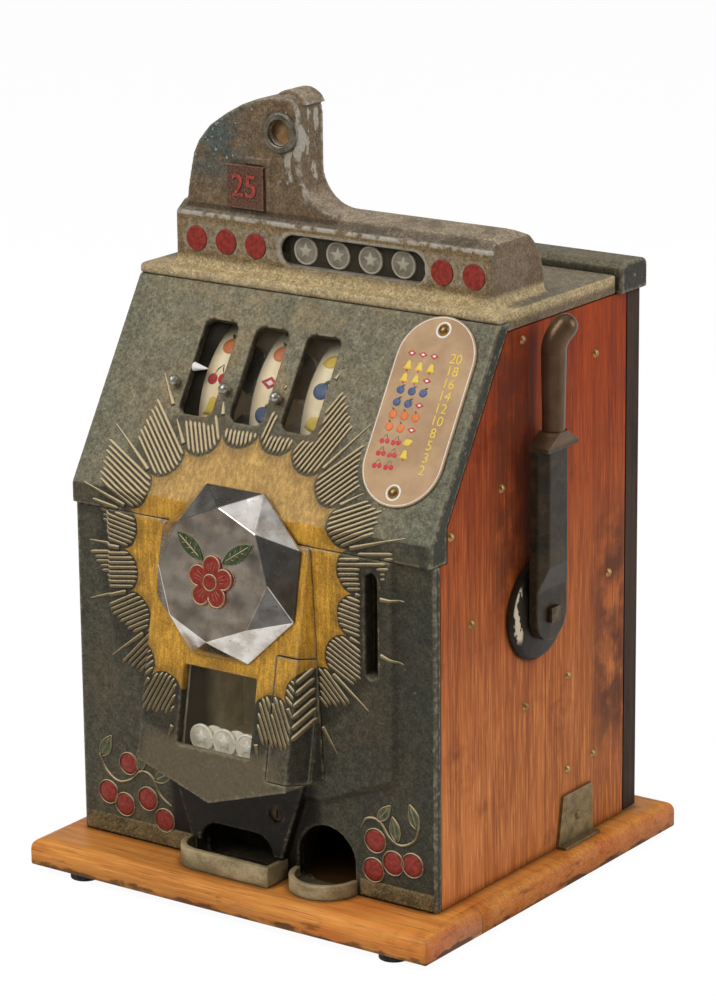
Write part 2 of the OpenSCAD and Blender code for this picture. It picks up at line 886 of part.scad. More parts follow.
// Cup seen from above, whose front sweeps back at its left end
module cup_outline(grow) {
    w = cup_w / 2 + grow;
    y0 = -cup_reach - grow;
    sweep = cup_round + grow;
    translate([-w + sweep, y0]) square([2 * w - sweep, -y0]);
    translate([-w, y0 + sweep]) square([sweep + 1, -y0 - sweep]);
    intersection() {
        translate([-w + sweep, y0 + sweep]) circle(sweep);
        translate([-w, y0]) square([2 * w, -y0]);
    }
}

module payout_cup() {
    color(paint) translate([cup_x, y_front, z_base]) difference() {
        linear_extrude(cup_h) cup_outline(0);
        translate([0, 1, cup_wall]) linear_extrude(cup_h) cup_outline(-cup_wall);
        translate([-cup_w, -block_relief - 0.2, block_foot_h - 2.2])
            cube([2 * cup_w, 2 * block_relief, cup_h]);
    }
}

module return_cup() {
    color(paint) translate([return_x, y_front, z_base]) difference() {
        cylinder(h = return_h, r = return_r);
        translate([0, 0, cup_wall]) cylinder(h = return_h, r = return_r - cup_wall);
        translate([-2 * return_r, 0, -1]) cube([4 * return_r, 2 * return_r, 2 * return_h]);
        translate([-2 * return_r, -2 * return_r, -1])
            cube([2 * return_r - return_x + cup_x + cup_w / 2 + 0.3, 4 * return_r, 2 * return_h]);
    }
}

// Sloped casting and its fittings

module reel_views(w, h, r, low, high) {
    on_slope() for (i = [-1 : 1]) {
        translate([reel_x + i * reel_pitch, view_s, low]) linear_extrude(high - low) round_rect(w, h, r);
    }
}

view_round = 8;

module reel_window_casting() {
    in = plate_t / cos(slope_angle);
    color(paint) difference() {
        union() {
            along_x(-half_w, half_w) polygon([[y_slope, z_ledge], [y_slope, z_slope], [y_seam, z_seam],
                [y_seam + in, z_seam], [y_slope + in, z_slope], [y_slope + in, z_ledge]]);
            for (x = [-half_w, inner_w]) along_x(x, x + panel_t)
                polygon([[y_slope, z_ledge], [y_slope, z_slope], [y_seam, z_seam], [rim_y(z_seam), z_seam],
                    [y_ledge_back, z_ledge_back], [y_ledge_back, z_ledge]]);
        }
        reel_views(view_w, view_h, view_round, -2 * plate_t, plate_t);
    }
}

module reel_glass() {
    lap = 8;
    color(clear) on_slope() translate([reel_x - reel_pitch - view_w / 2 - lap, view_s - view_h / 2 - lap,
        -plate_t - glass_t]) cube([2 * reel_pitch + view_w + 2 * lap, view_h + 2 * lap, glass_t]);
}

stud_r = 5;
stud_h = 7;
pointer_len = 14;
pointer_r = 4;

// Round studs beside the windows, and the payline pointer on the first window's left wall
module payline_studs() {
    color(steel) on_slope() {
        for (i = [-1 : 1]) translate([reel_x + i * reel_pitch - stud_off, stud_s, 0]) {
            cylinder(h = stud_h, r = stud_r * 0.7);
            translate([0, 0, stud_h]) sphere(stud_r);
        }
        translate([reel_x - reel_pitch - view_w / 2, view_s, -plate_t / 2]) rotate([0, 90, 0])
            cylinder(h = pointer_len, r1 = pointer_r, r2 = 0.5);
    }
}

module award_plate() {
    color([0.66, 0.5, 0.42]) on_slope() translate([award_x, award_s, 0]) linear_extrude(award_t)
        stadium(award_w, award_len);
}

// Top casting with the escalator box and the coin head

// Loaf-shaped section: upright front, bevel, and a back that rounds down from the crown
function box_outline(y0, y1, z0, z1, crown) = concat([[y0, z0], [y0, z1], [y0 + crown, z1 + crown * 0.7]],
    [for (t = [0 : 10 : 90]) [y1 - (y1 - y0) * 0.56 * (1 - sin(t)),
        z0 + 4 + (z1 + crown - z0 - 4) * cos(t)]], [[y1, z0]]);

box_chamfer = [16, 7];

// Outline seen from the front, with the right shoulder cut off
module box_front() {
    z1 = z_box + box_crown;
    polygon([[box_x0, z_seam], [box_x0, z1 + 1], [box_x1 - box_chamfer[0], z1 + 1],
        [box_x1 - box_chamfer[0], z1], [box_x1, z1 - box_chamfer[1]], [box_x1, z_seam]]);
}

plate_chamfer = 3;
cove = box_set - plate_chamfer - 0.5;
cove_root = 1;
cove_bite = 0.2;
cove_end = 2;

// Quarter-round fillet that leads from the plate up to a wall on its -X side, rooted in both
module cove_outline() {
    difference() {
        translate([-cove_root, -cove_root]) square(cove + cove_root);
        translate([cove, cove]) circle(cove + cove_bite);
    }
}

module front_cove(x0, x1) {
    along_x(x0, x1) translate([y_box, z_top]) mirror([1, 0]) cove_outline();
}

module right_cove(y0, y1) {
    along_y(y0, y1) translate([box_x1, z_top]) cove_outline();
}

module left_cove(y0, y1) {
    along_y(y0, y1) translate([box_x0, z_top]) mirror([1, 0]) cove_outline();
}

// Fillets along the front and both ends of the escalator box, mitred at its corners
module box_coves(y1) {
    front_cove(box_x0, box_x1);
    right_cove(y_box, y1 - cove_end);
    left_cove(y_box, y1 - cove_end);
    intersection() {
        front_cove(box_x1 - cove, box_x1 + cove);
        right_cove(y_box - cove, y_box + cove);
    }
    intersection() {
        front_cove(box_x0 - cove, box_x0 + cove);
        left_cove(y_box - cove, y_box + cove);
    }
}

head_curve = [[0, -4], [5, 27], [10, 50], [16, 62], [28, 75.5], [46, 87.5], [62, 96], [78, 102]];
head_root = 20;
head_nose = 15;
head_foot = 36;

// Head: left edge rises to a sloping top, rounds over beside the bezel and drops to the box
module head_outline() {
    polygon(concat([[head_x0, z_box - head_root]], [for (p = head_curve) [head_x0 + p[0], z_box + p[1]]],
        [[head_x1 - head_nose, z_head], [head_x1 - head_nose, z_box - head_root]]));
    translate([head_x1 - head_nose, z_head - head_nose]) circle(head_nose);
    translate([head_x1 - head_nose - 1, z_box - head_root])
        square([head_nose + 1, z_head - z_box + head_root - head_nose]);
    difference() {
        translate([head_x1 - 1, z_box - head_root])
            square([head_foot + 1, head_foot + head_root + box_crown]);
        translate([head_x1 + head_foot, z_box + box_crown + head_foot]) circle(head_foot);
    }
}

// Rounded lip that stands over the head's nose
module head_lip() {
    intersection() {
        translate([head_x1 - head_nose, z_head - head_nose]) circle(head_nose + lip[0]);
        translate([head_x0, z_head - lip[1]]) square([head_x1 - head_x0 + head_nose, head_nose + lip[1]]);
    }
}

module escalator_window(low, high) {
    along_y(low, high) translate([esc_x, z_coin]) rotate(90) stadium(esc_h, esc_w);
}

dot_pitch = 31;
dot_x = [for (i = [0 : 2]) box_x0 + 22 + i * dot_pitch, for (i = [0 : 1]) box_x1 - 17 - i * dot_pitch];
dot_sink = 1.5;
coin_slot = [26, 2.6];
rail_t = 3;
rail_gap = 0.1;
lip = [5, 7, 27];
tag = [38, 37, 4];
tag_x = bezel_x - 35;
tag_h = bezel_h - 49;
holder = [5, 2];

// Low ledge above and to the right of the denomination plate
module tag_holder() {
    x1 = tag_x + tag[0] / 2;
    z0 = z_top + tag_h - tag[1] / 2;
    z1 = z0 + tag[1];
    translate([x1 + 1, y_head - holder[1], z0]) cube([holder[0], holder[1] + 1, tag[1] + 6]);
    translate([tag_x, y_head - holder[1], z1 + 1])
        cube([tag[0] / 2 + 1 + holder[0], holder[1] + 1, holder[0]]);
}

module top_casting() {
    y1 = y_box + box_d;
    cav = box_wall;
    z_cav = z_box - box_wall;
    color(gold) difference() {
        union() {
            along_x(-half_w, half_w) polygon([[y_seam, z_seam], [y_seam, z_top - plate_chamfer],
                [y_seam + plate_chamfer, z_top], [y_cap, z_top], [y_cap, z_seam]]);
            for (x = [-half_w, inner_w]) along_x(x, x + panel_t) polygon([[rim_y(z_seam), z_seam],
                [rim_y(z_seam), z_top - 1], [y_cap, z_top - 1], [y_cap, z_side_top],
                [rim_y(z_side_top), z_side_top]]);
            intersection() {
                along_x(box_x0, box_x1) polygon(box_outline(y_box, y1, z_top - 1, z_box, box_crown));
                along_y(y_box - 1, y1 + 1) box_front();
            }
            box_coves(y1);
            along_y(y_head + head_d - lip[2], y_head + head_d) head_lip();
            tag_holder();
            along_y(y_head, y_head + head_d) head_outline();
        }
        difference() {
            translate([box_x0 + cav, y_box + cav, z_seam - 1])
                cube([box_x1 - box_x0 - 2 * cav, box_d - 8 * cav, z_cav - z_seam + 1]);
            translate([box_x0, y_box, z_carrier - rail_gap - rail_t])
                cube([box_x1 - box_x0, y_esc_coin - y_box + coin_t + carrier_t + 3, rail_t]);
        }
        escalator_window(y_box - 1, y_box + cav + 1);
        for (x = dot_x) translate([x, y_box - 1, z_coin]) rotate([-90, 0, 0])
            cylinder(h = dot_sink + 1, r = dot_r);
        translate([bezel_x, y_head - 1, z_top + bezel_h]) rotate([-90, 0, 0])
            cylinder(h = lens_sink + glass_t + 1, r = lens_r);
        translate([bezel_x - coin_slot[0] / 2, y_head + head_d / 2, z_cav - 1])
            cube([coin_slot[0], coin_slot[1], z_head]);
    }
}

module coin_bezel() {
    color(silver) translate([bezel_x, y_head, z_top + bezel_h]) rotate([90, 0, 0]) rotate_extrude()
        polygon([[lens_r, 0], [bezel_r, 0], [bezel_r - 0.5, 1.5], [bezel_r - 2, 3], [lens_r + 1, 3],
            [lens_r, 2]]);
}

module coin_lens() {
    color([0.4, 0.27, 0.15]) translate([bezel_x, y_head + lens_sink, z_top + bezel_h]) rotate([-90, 0, 0])
        cylinder(h = glass_t, r = lens_r);
}

module denomination_plate() {
    color([0.4, 0.25, 0.2]) translate([tag_x - tag[0] / 2, y_head - tag[2], z_top + tag_h - tag[1] / 2])
        cube([tag[0], tag[2], tag[1]]);
}

module escalator_studs() {
    color(red) for (x = dot_x) translate([x, y_box - 1, z_coin]) rotate([-90, 0, 0])
        cylinder(h = dot_sink + 1, r = dot_r);
}

module escalator_glass() {
    lap = 3;
    color(clear) translate([esc_x - esc_w / 2 - lap, y_esc_glass, z_carrier])
        cube([esc_w + 2 * lap, glass_t, 2 * coin_r + lap]);
}

module escalator_carrier() {
    y0 = y_esc_coin + coin_t;
    color(iron) difference() {
        translate([coin_x0 - coin_pitch / 2, y0, z_carrier])
            cube([coin_count * coin_pitch, carrier_t, 2 * (coin_r + carrier_lap)]);
        for (i = [0 : coin_count - 1]) translate([coin_x0 + i * coin_pitch, y0 - 1, z_coin])
            rotate([-90, 0, 0]) cylinder(h = carrier_t + 2, r = coin_r / 3);
    }
}

module escalator_coins() {
    color(silver) for (i = [0 : coin_count - 1]) {
        translate([coin_x0 + i * coin_pitch, y_esc_coin, z_coin]) coin();
    }
}

// Mechanism

mech_t = 8;

module mechanism_base() {
    color(steel) translate([-inner_w, y_mech0, z_mech]) cube([2 * inner_w, y_mech1 - y_mech0, mech_t]);
}

frame_rise = 34;
frame_half = 40;
frame_drop = 60;
frame_set = 8;
frame_end = [14, 20];
frame_top = reel_z + frame_rise;

module frame_plate() {
    zf = z_mech + mech_t;
    polygon([[y_mech0 + frame_set, zf], [lever_y + frame_end[0], zf],
        [lever_y + frame_end[0], lever_z + frame_end[1]], [reel_y + frame_half, frame_top],
        [reel_y - frame_half, frame_top], [y_mech0 + frame_set, reel_z - frame_drop]]);
}

module mechanism_frame() {
    color(steel) {
        for (x = [frame_x0, frame_x1]) difference() {
            along_x(x, x + frame_t) frame_plate();
            translate([x - 1, reel_y, reel_z]) rotate([0, 90, 0])
                cylinder(h = frame_t + 2, r = reel_shaft_r + run_fit);
            translate([x - 1, lever_y, lever_z]) rotate([0, 90, 0])
                cylinder(h = frame_t + 2, r = lever_shaft_r + run_fit);
        }
        translate([frame_x1 + frame_t, clock_y, clock_z]) rotate([0, 90, 0]) cylinder(h = gear_t + 4, r = 3);
        translate([frame_x1 + frame_t, clock_y, clock_z + gear_gap]) rotate([0, 90, 0])
            cylinder(h = gear_t + 14, r = 2);
    }
}

shaft_end = 8;

module reel_shaft() {
    color(silver) translate([frame_x0 - shaft_end, reel_y, reel_z]) rotate([0, 90, 0])
        cylinder(h = frame_x1 + frame_t - frame_x0 + 2 * shaft_end, r = reel_shaft_r);
}

module stop_lever_shaft() {
    color(silver) translate([frame_x0 - shaft_end, lever_y, lever_z]) rotate([0, 90, 0])
        cylinder(h = frame_x1 + frame_t - frame_x0 + 2 * shaft_end, r = lever_shaft_r);
}

slide_w = guide[0] - 24;

module slide_guide() {
    z0 = z_mech + mech_t;
    color(iron) difference() {
        translate([guide_x, guide_y, z0]) cube(guide);
        for (i = [0 : 2]) translate([guide_x + 12 - slide_gap, guide_y - 1, z0 + 5 + i * 9 - slide_gap])
            cube([slide_w + 2 * slide_gap, guide[1] + 2, slide_t + 2 * slide_gap]);
    }
}

slide_in = 12;
slide_lift = 5;
slide_pitch = 9;
slide_out = 14;
slide_end = 5;

module payout_slides() {
    z0 = z_mech + mech_t + slide_lift;
    color(silver) {
        for (i = [0 : 2]) translate([guide_x + slide_in, guide_y, z0 + i * slide_pitch])
            cube([slide_w, guide[1] + slide_out, slide_t]);
        translate([guide_x + slide_in, guide_y + guide[1] + slide_out, z0])
            cube([slide_w, slide_end, 2 * slide_pitch + slide_t]);
    }
}

// Sloping tray that leads coins from the mechanism to the payout arch
module payout_chute() {
    wall = 2;
    y0 = y_front + cast_t;
    y1 = y_mech0 + 20;
    z0 = z_base + cup_wall;
    z1 = z_mech - 2;
    w = payout_half + 4;
    color(steel) translate([jackpot_x, 0, 0]) difference() {
        along_x(-w, w) polygon([[y0, z_base], [y0, z_base + payout_arch_h + 4], [y1, z1 + 2], [y1, z1 - 20],
            [y0 + 26, z_base], [y0, z_base]]);
        along_x(-w + wall, w - wall)
            polygon([[y0 - 1, z0], [y0 - 1, z_base + payout_arch_h + 8], [y1, z1 + 20],
            [y1 + 1, z1 - 16], [y0 + 26, z0 + 2]]);
    }
}

module cash_box() {
    color(steel) translate([cash_x, cash_y, z_base]) difference() {
        cube(cash);
        translate([cash_wall, cash_wall, cash_wall])
            cube([cash[0] - 2 * cash_wall, cash[1] - 2 * cash_wall, cash[2]]);
    }
}

// Reels, each with its strip rim, spoked web, hub and star wheel

spokes = 5;
rim_wall = 3;

module reel(i) {
    hub_r = reel_shaft_r + 6;
    translate([reel_x + i * reel_pitch, reel_y, reel_z]) rotate([0, 90, 0]) difference() {
        union() {
            difference() {
                translate([0, 0, -reel_w / 2]) cylinder(h = reel_w, r = reel_r);
                translate([0, 0, -reel_w / 2 - 1]) cylinder(h = reel_w + 2, r = reel_r - rim_wall);
            }
            difference() {
                translate([0, 0, -2]) cylinder(h = 4, r = reel_r - 1);
                for (k = [0 : spokes - 1]) rotate(k * 360 / spokes) translate([reel_r * 0.56, 0, -3])
                    cylinder(h = 6, r = reel_r * 0.24);
            }
            translate([0, 0, -reel_hub / 2]) cylinder(h = reel_hub, r = hub_r);
            translate([0, 0, star_off]) linear_extrude(star_t)
                polygon(gear_points(stops, star_r - 6, star_r, 0.32, 0.16));
        }
        translate([0, 0, -reel_hub]) cylinder(h = 2 * reel_hub, r = reel_shaft_r + run_fit);
    }
}

module reel_1() {
    color([0.9, 0.86, 0.74]) reel(-1);
}

module reel_2() {
    color([0.9, 0.86, 0.74]) reel(0);
}

module reel_3() {
    color([0.9, 0.86, 0.74]) reel(1);
}

// Stop levers reach from their shaft to just outside the star wheels
lever_hub = [4, 16];
lever_w = [8, 5, 2];
lever_tip = 12;

module stop_lever(i) {
    turn = atan2(reel_z - lever_z, reel_y - lever_y);
    x = reel_x + i * reel_pitch + star_off;
    translate([x, lever_y, lever_z]) rotate([turn, 0, 0]) rotate([90, 0, 90]) difference() {
        union() {
            translate([0, 0, (star_t - lever_hub[1]) / 2])
                cylinder(h = lever_hub[1], r = lever_shaft_r + lever_hub[0]);
            linear_extrude(star_t)
                polygon([[0, -lever_w[0]], [lever_reach - lever_tip, -lever_w[1]], [lever_reach, -lever_w[2]],
                [lever_reach, lever_w[2]], [lever_reach - lever_tip, lever_w[1]], [0, lever_w[0]]]);
        }
        translate([0, 0, -lever_hub[1]]) cylinder(h = 3 * lever_hub[1], r = lever_shaft_r + run_fit);
    }
}

module stop_lever_1() {
    color(steel) stop_lever(-1);
}

module stop_lever_2() {
    color(steel) stop_lever(0);
}

module stop_lever_3() {
    color(steel) stop_lever(1);
}

module clock_wheel() {
    r = gear_module * wheel_teeth / 2;
    color(brass) translate([clock_x, clock_y, clock_z]) rotate([90, 0, 90]) difference() {
        rotate(90 + 180 / wheel_teeth) linear_extrude(gear_t)
            polygon(gear_points(wheel_teeth, r - 1.6, r + 0.9, 0.24, 0.1));
        translate([0, 0, -1]) cylinder(h = gear_t + 2, r = 3 + run_fit);
        for (k = [0 : 4]) rotate(k * 72) translate([r * 0.55, 0, -1]) cylinder(h = gear_t + 2, r = r * 0.22);
    }
}

fan_r = 26;

module governor_fan() {
    r = gear_module * pinion_teeth / 2;
    color(brass) translate([clock_x, clock_y, clock_z + gear_gap]) rotate([90, 0, 90]) difference() {
        union() {
            rotate(-90) linear_extrude(gear_t)
                polygon(gear_points(pinion_teeth, r - 1.6, r + 0.9, 0.24, 0.1));
            cylinder(h = gear_t + 9, r = r - 2);
            for (k = [0, 180]) rotate(k) translate([0, -5, gear_t + 4]) cube([fan_r, 10, 2]);
        }
        translate([0, 0, -1]) cylinder(h = gear_t + 20, r = 2 + run_fit);
    }
}

lock_tail = 26;

module jackpot_lock() {
    color(brass) translate([lock_x, y_front - block_relief + 3, z_base + lock_h])
        rotate([-90, 0, 0]) difference() {
        union() {
            cylinder(h = block_relief + cast_t - 3 + 4, r = lock_r);
            translate([-4, -lock_tail, block_relief + cast_t - 3 + 1]) cube([8, lock_tail, 3]);
        }
        translate([-0.8, -4, -1]) cube([1.6, 8, 7]);
    }
}

// Handle

module handle_escutcheon() {
    dome_r = 3;
    color(iron) translate([half_w, pivot_y, z_pivot]) rotate([0, 90, 0]) rotate_extrude() polygon(concat(
        [[shaft_r + run_fit, -panel_t - bush_out], [bush_r, -panel_t - bush_out], [bush_r, 0], [plate_r, 0]],
        [[plate_r, plate_h / 3], [plate_r - dome_r, plate_h * 0.75], [plate_r * 0.6, plate_h]],
        [[shaft_r + run_fit, plate_h]]));
}

lug_ramp = 22;
arm_bevel = [7, 12];

// Arm section: flat inside, with a narrow bevel on the front edge and a wide one on the back edge
module arm_section() {
    x1 = x_arm + arm_thick;
    polygon([[x_arm, -arm_r], [x1 - arm_bevel[0], -arm_r], [x1, arm_bevel[0] - arm_r],
        [x1, arm_r - arm_bevel[1]], [x_arm + arm_t, arm_r], [x_arm, arm_r]]);
}

module handle_arm() {
    color(iron) difference() {
        union() {
            along_x(x_arm, x_arm + arm_t) translate([pivot_y, z_pivot]) {
                circle(arm_r);
                translate([-arm_r, 0]) square([2 * arm_r, arm_len]);
            }
            translate([0, pivot_y, z_pivot]) intersection() {
                along_y(-arm_r, arm_r) polygon([[x_arm + arm_t - 1, lug_ramp], [x_arm + arm_t, lug_ramp],
                    [x_arm + arm_thick, 2 * lug_ramp], [x_arm + arm_thick, arm_len],
                    [x_arm + arm_t - 1, arm_len]]);
                linear_extrude(arm_len) arm_section();
            }
        }
        translate([x_arm - 1, pivot_y, z_pivot]) rotate([0, 90, 0])
            cylinder(h = arm_t + 2, r = shaft_r * 0.6);
    }
}

grip_collar = 14;
grip_turn = 53;
grip_end = 6;
grip_lap = 3;

// Shoulder, straight rod, bend and rounded end
module handle_grip() {
    color(steel) translate([x_grip, pivot_y, z_arm_top]) {
        intersection() {
            rotate_extrude() polygon([[0, 0], [arm_r + 1.5, 0], [arm_r + 1.5, grip_collar * 0.25],
                [arm_r * 0.8, grip_collar * 0.6], [grip_r + 3, grip_collar * 0.85], [grip_r + 1, grip_collar],
                [0, grip_collar]]);
            translate([x_arm - x_grip, -arm_r, 0]) cube([arm_thick + 3, 2 * arm_r, grip_collar]);
        }
        cylinder(h = grip_len, r1 = grip_waist, r2 = grip_r);
        translate([0, 0, grip_len]) rotate(grip_turn) {
            translate([grip_bend_r, 0, 0]) rotate([90, 0, 0]) rotate(180 - grip_bend - grip_lap)
                rotate_extrude(angle = grip_bend + 2 * grip_lap) translate([grip_bend_r, 0])
                    circle(grip_r - 0.1);
            translate([grip_bend_r * (1 - cos(grip_bend)), 0, grip_bend_r * sin(grip_bend)])
                rotate([0, grip_bend, 0]) {
                    cylinder(h = grip_end, r = grip_r);
                    translate([0, 0, grip_end]) sphere(grip_r - 0.15);
                }
        }
    }
}

bolt_w = 13;

module handle_bolt() {
    color(brass) translate([x_arm, pivot_y, z_pivot]) rotate([0, 90, 0]) {
        cylinder(h = arm_t, r = shaft_r * 0.6);
        translate([-bolt_w / 2, -bolt_w / 2, arm_t]) cube([bolt_w, bolt_w, 4]);
    }
}

module handle_shaft() {
    color(silver) translate([shaft_in, pivot_y, z_pivot]) rotate([0, 90, 0]) {
        cylinder(h = x_arm - shaft_in, r = shaft_r);
        cylinder(h = crank_t, r = shaft_r + 5);
        translate([0, -7, 0]) cube([crank_len, 14, crank_t]);
        translate([crank_len, 0, -10]) cylinder(h = crank_t + 10, r = 6);
    }
}

// Return spring: one wire wound round the handle shaft
spring_steps = 8;
spring_sides = 6;
spring_pitch = (spring_x1 - spring_x0 - 2 * spring_wire) / spring_turns;
spring_n = spring_turns * spring_steps;
function spring_point(i) = [spring_x0 + spring_wire + spring_pitch * i / spring_steps,
    pivot_y + spring_r * cos(360 * i / spring_steps), z_pivot + spring_r * sin(360 * i / spring_steps)];
function spring_ring(i, k) = let (a = 360 * i / spring_steps, b = -360 * k / spring_sides)
    spring_point(i) + spring_wire * [sin(b), cos(b) * cos(a), cos(b) * sin(a)];

module return_spring() {
    color(silver) sweep([for (i = [0 : spring_n]) spring_point(i)],
        function(i, k) spring_ring(i, k), spring_sides);
}

// Back door

module back_door() {
    color(iron) difference() {
        translate([-half_w, y_door, z_base + door_play])
            cube([cab_w, door_t, z_side_top - z_base - 2 * door_play]);
        translate([door_lock_x, y_door - 1, door_lock_z]) rotate([-90, 0, 0])
            cylinder(h = door_t + 2, r = lock_r + run_fit);
    }
}

module door_lock() {
    proud = 3;
    color(brass) translate([door_lock_x, y_cam, door_lock_z]) rotate([-90, 0, 0]) difference() {
        union() {
            cylinder(h = y_back + proud - y_cam, r = lock_r);
            translate([-cam_w / 2, -cam_reach, 0]) cube([cam_w, cam_reach, cam_t]);
        }
        translate([-0.8, -4, y_back + proud - y_cam - 6]) cube([1.6, 8, 8]);
    }
}

module knuckles(which) {
    for (z = hinge_z) for (k = which) translate([hinge_x, hinge_y, z + k * knuckle + 0.2]) difference() {
        cylinder(h = knuckle - 0.4, r = hinge_r);
        translate([0, 0, -1]) cylinder(h = knuckle + 2, r = hinge_pin_r + run_fit);
    }
}

module leaf_plate(side, z, h) {
    reach = side > 0 ? door_t - 2 : door_t + 8;
    translate([-half_w - hinge_leaf, side > 0 ? hinge_y + hinge_r + 0.5 : hinge_y - reach, z])
        cube([hinge_leaf, reach - (side > 0 ? hinge_r + 0.5 : hinge_r + 0.5), h]);
}

// Bridge from a knuckle to its leaf
module leaf_arm(side, z, h) {
    translate([-half_w - hinge_leaf, side > 0 ? hinge_y + 0.6 : hinge_y - hinge_r - 1, z])
        cube([hinge_leaf * 0.6, hinge_r + 0.4, h]);
}

module cabinet_hinge_leaves() {
    color(iron) {
        knuckles([0, 2]);
        for (z = hinge_z) {
            leaf_plate(-1, z, hinge_len);
            for (k = [0, 2]) leaf_arm(-1, z + k * knuckle + knuckle_gap / 2, knuckle - knuckle_gap);
        }
    }
}

module door_hinge_leaves() {
    color(iron) {
        knuckles([1]);
        for (z = hinge_z) {
            leaf_plate(1, z, hinge_len);
            leaf_arm(1, z + knuckle + knuckle_gap / 2, knuckle - knuckle_gap);
        }
    }
}

module hinge_pins() {
    color(silver) for (z = hinge_z) translate([hinge_x, hinge_y, z - 1]) {
        cylinder(h = hinge_len + 2, r = hinge_pin_r);
        translate([0, 0, hinge_len + 1]) cylinder(h = 2, r = hinge_r - 0.5);
    }
}

base_board();
base_front_batten();
base_feet();
left_side_panel();
right_side_panel();
round_head_screws();
corner_clips();
rear_cap();
lower_front_casting();
jackpot_front();
access_cover();
jackpot_glass();
jackpot_bin();
jackpot_coins();
coin_tube();
emblem();
emblem_rosette();
emblem_leaves();
payout_cup();
return_cup();
reel_window_casting();
reel_glass();
payline_studs();
award_plate();
top_casting();
coin_bezel();
coin_lens();
denomination_plate();
escalator_studs();
escalator_glass();
escalator_carrier();
escalator_coins();
mechanism_base();
mechanism_frame();
reel_shaft();
stop_lever_shaft();
slide_guide();
cash_box();
payout_chute();
handle_escutcheon();
return_spring();
cabinet_hinge_leaves();
hinge_pins();
handle_arm();
handle_grip();
handle_bolt();
handle_shaft();
reel_1();
reel_2();
reel_3();
stop_lever_1();
stop_lever_2();
stop_lever_3();
clock_wheel();
governor_fan();
payout_slides();
jackpot_lock();
back_door();
door_hinge_leaves();
door_lock();
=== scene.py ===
"""Looks of a table-top slot machine with three reels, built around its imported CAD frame."""
import json
import math
import random

import bmesh
import bpy
from mathutils import Matrix, Vector
from mathutils.bvhtree import BVHTree


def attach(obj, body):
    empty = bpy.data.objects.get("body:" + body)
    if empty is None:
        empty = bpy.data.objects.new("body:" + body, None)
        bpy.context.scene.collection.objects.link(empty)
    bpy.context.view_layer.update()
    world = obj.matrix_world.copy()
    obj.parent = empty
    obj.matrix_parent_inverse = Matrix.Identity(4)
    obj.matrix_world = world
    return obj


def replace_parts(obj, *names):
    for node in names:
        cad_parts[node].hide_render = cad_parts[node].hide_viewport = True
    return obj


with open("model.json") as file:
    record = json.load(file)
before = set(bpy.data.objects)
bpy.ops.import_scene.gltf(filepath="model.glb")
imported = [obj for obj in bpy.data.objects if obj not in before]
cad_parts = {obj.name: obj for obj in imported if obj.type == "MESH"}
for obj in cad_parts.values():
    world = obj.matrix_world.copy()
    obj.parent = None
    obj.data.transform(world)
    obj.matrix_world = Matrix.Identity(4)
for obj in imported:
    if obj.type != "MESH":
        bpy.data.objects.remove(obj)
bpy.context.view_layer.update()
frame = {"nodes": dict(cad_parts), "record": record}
NODES = frame["nodes"]
BODY_OF = {n: b for b, ns in frame["record"]["behaviour"]["bodies"].items() for n in ns}
SLOT_OF = {p["node"]: p["material_slot"] for p in frame["record"]["subparts"]}
MM = 0.001

# Places that the looks share with the CAD, in mm
SLOPE = (0, -151, 345, 31.5)          # x, y, z of its foot and its lean
JACKPOT = (-11, -155, 327, 10.5)
EMBLEM_X, EMBLEM_Z = -11, 294.6
WINDOW_X, WINDOW_S = (-83, -30, 23), 117
CARD_X, CARD_S, CARD_SIZE = 135, 109, (76, 164)
REEL_Y, REEL_Z, REEL_R = 1.365, 388.852, 89
REEL_BODIES = ("left_reel", "middle_reel", "right_reel")
AHEAD = -300                          # y from which a ray looks back at the front
INWARD = Vector((0, 1, 0))


# Camera, lights and floor

def make_camera():
    azimuth, elevation, roll = (math.radians(a) for a in (35.4515, 15.7987, -0.5857))
    back = Vector((math.sin(azimuth) * math.cos(elevation), -math.cos(azimuth) * math.cos(elevation),
                   math.sin(elevation)))
    side = Vector((math.cos(azimuth), math.sin(azimuth), 0))
    up = back.cross(side)
    right = side * math.cos(roll) + up * math.sin(roll)
    up = up * math.cos(roll) - side * math.sin(roll)
    data = bpy.data.cameras.new("camera")
    data.lens, data.sensor_width, data.sensor_fit = 141.079, 36, "AUTO"
    data.clip_end = 60
    camera = bpy.data.objects.new("camera", data)
    camera.matrix_world = Matrix((right, up, back)).transposed().to_4x4()
    camera.matrix_world.translation = Vector((1.86745, -2.61483, 1.23024))
    bpy.context.scene.collection.objects.link(camera)
    bpy.context.scene.camera = camera


LAMP_AIM = Vector((0, 0, 0.3))


def soft_lamp(name, place, size, watts, glossy=True):
    data = bpy.data.lights.new(name, "AREA")
    data.shape, data.size, data.size_y = "RECTANGLE", size[0], size[1]
    data.energy = watts
    lamp = bpy.data.objects.new(name, data)
    lamp.location = place
    lamp.rotation_euler = (LAMP_AIM - Vector(place)).to_track_quat("-Z", "Y").to_euler()
    lamp.visible_glossy = glossy
    bpy.context.scene.collection.objects.link(lamp)


def new_node(tree, kind, **settings):
    node = tree.nodes.new("ShaderNode" + kind)
    for key, value in settings.items():
        setattr(node, key, value)
    return node


def joined(tree, op, first, second):
    """Two sockets through a Math node."""
    node = new_node(tree, "Math", operation=op)
    tree.links.new(first, node.inputs[0])
    tree.links.new(second, node.inputs[1])
    return node.outputs[0]


def mixed(tree, share, first, second):
    """Two shaders' sockets, the second at this share."""
    node = new_node(tree, "MixShader")
    for k, socket in enumerate((share, first, second)):
        tree.links.new(socket, node.inputs[k])
    return node.outputs[0]


def seen_rays(tree):
    """1 for rays that show the background: from the camera, off metal and through glass."""
    rays = new_node(tree, "LightPath").outputs
    most = joined(tree, "MAXIMUM", rays["Is Camera Ray"], rays["Is Glossy Ray"])
    return joined(tree, "MAXIMUM", most, rays["Is Transmission Ray"])


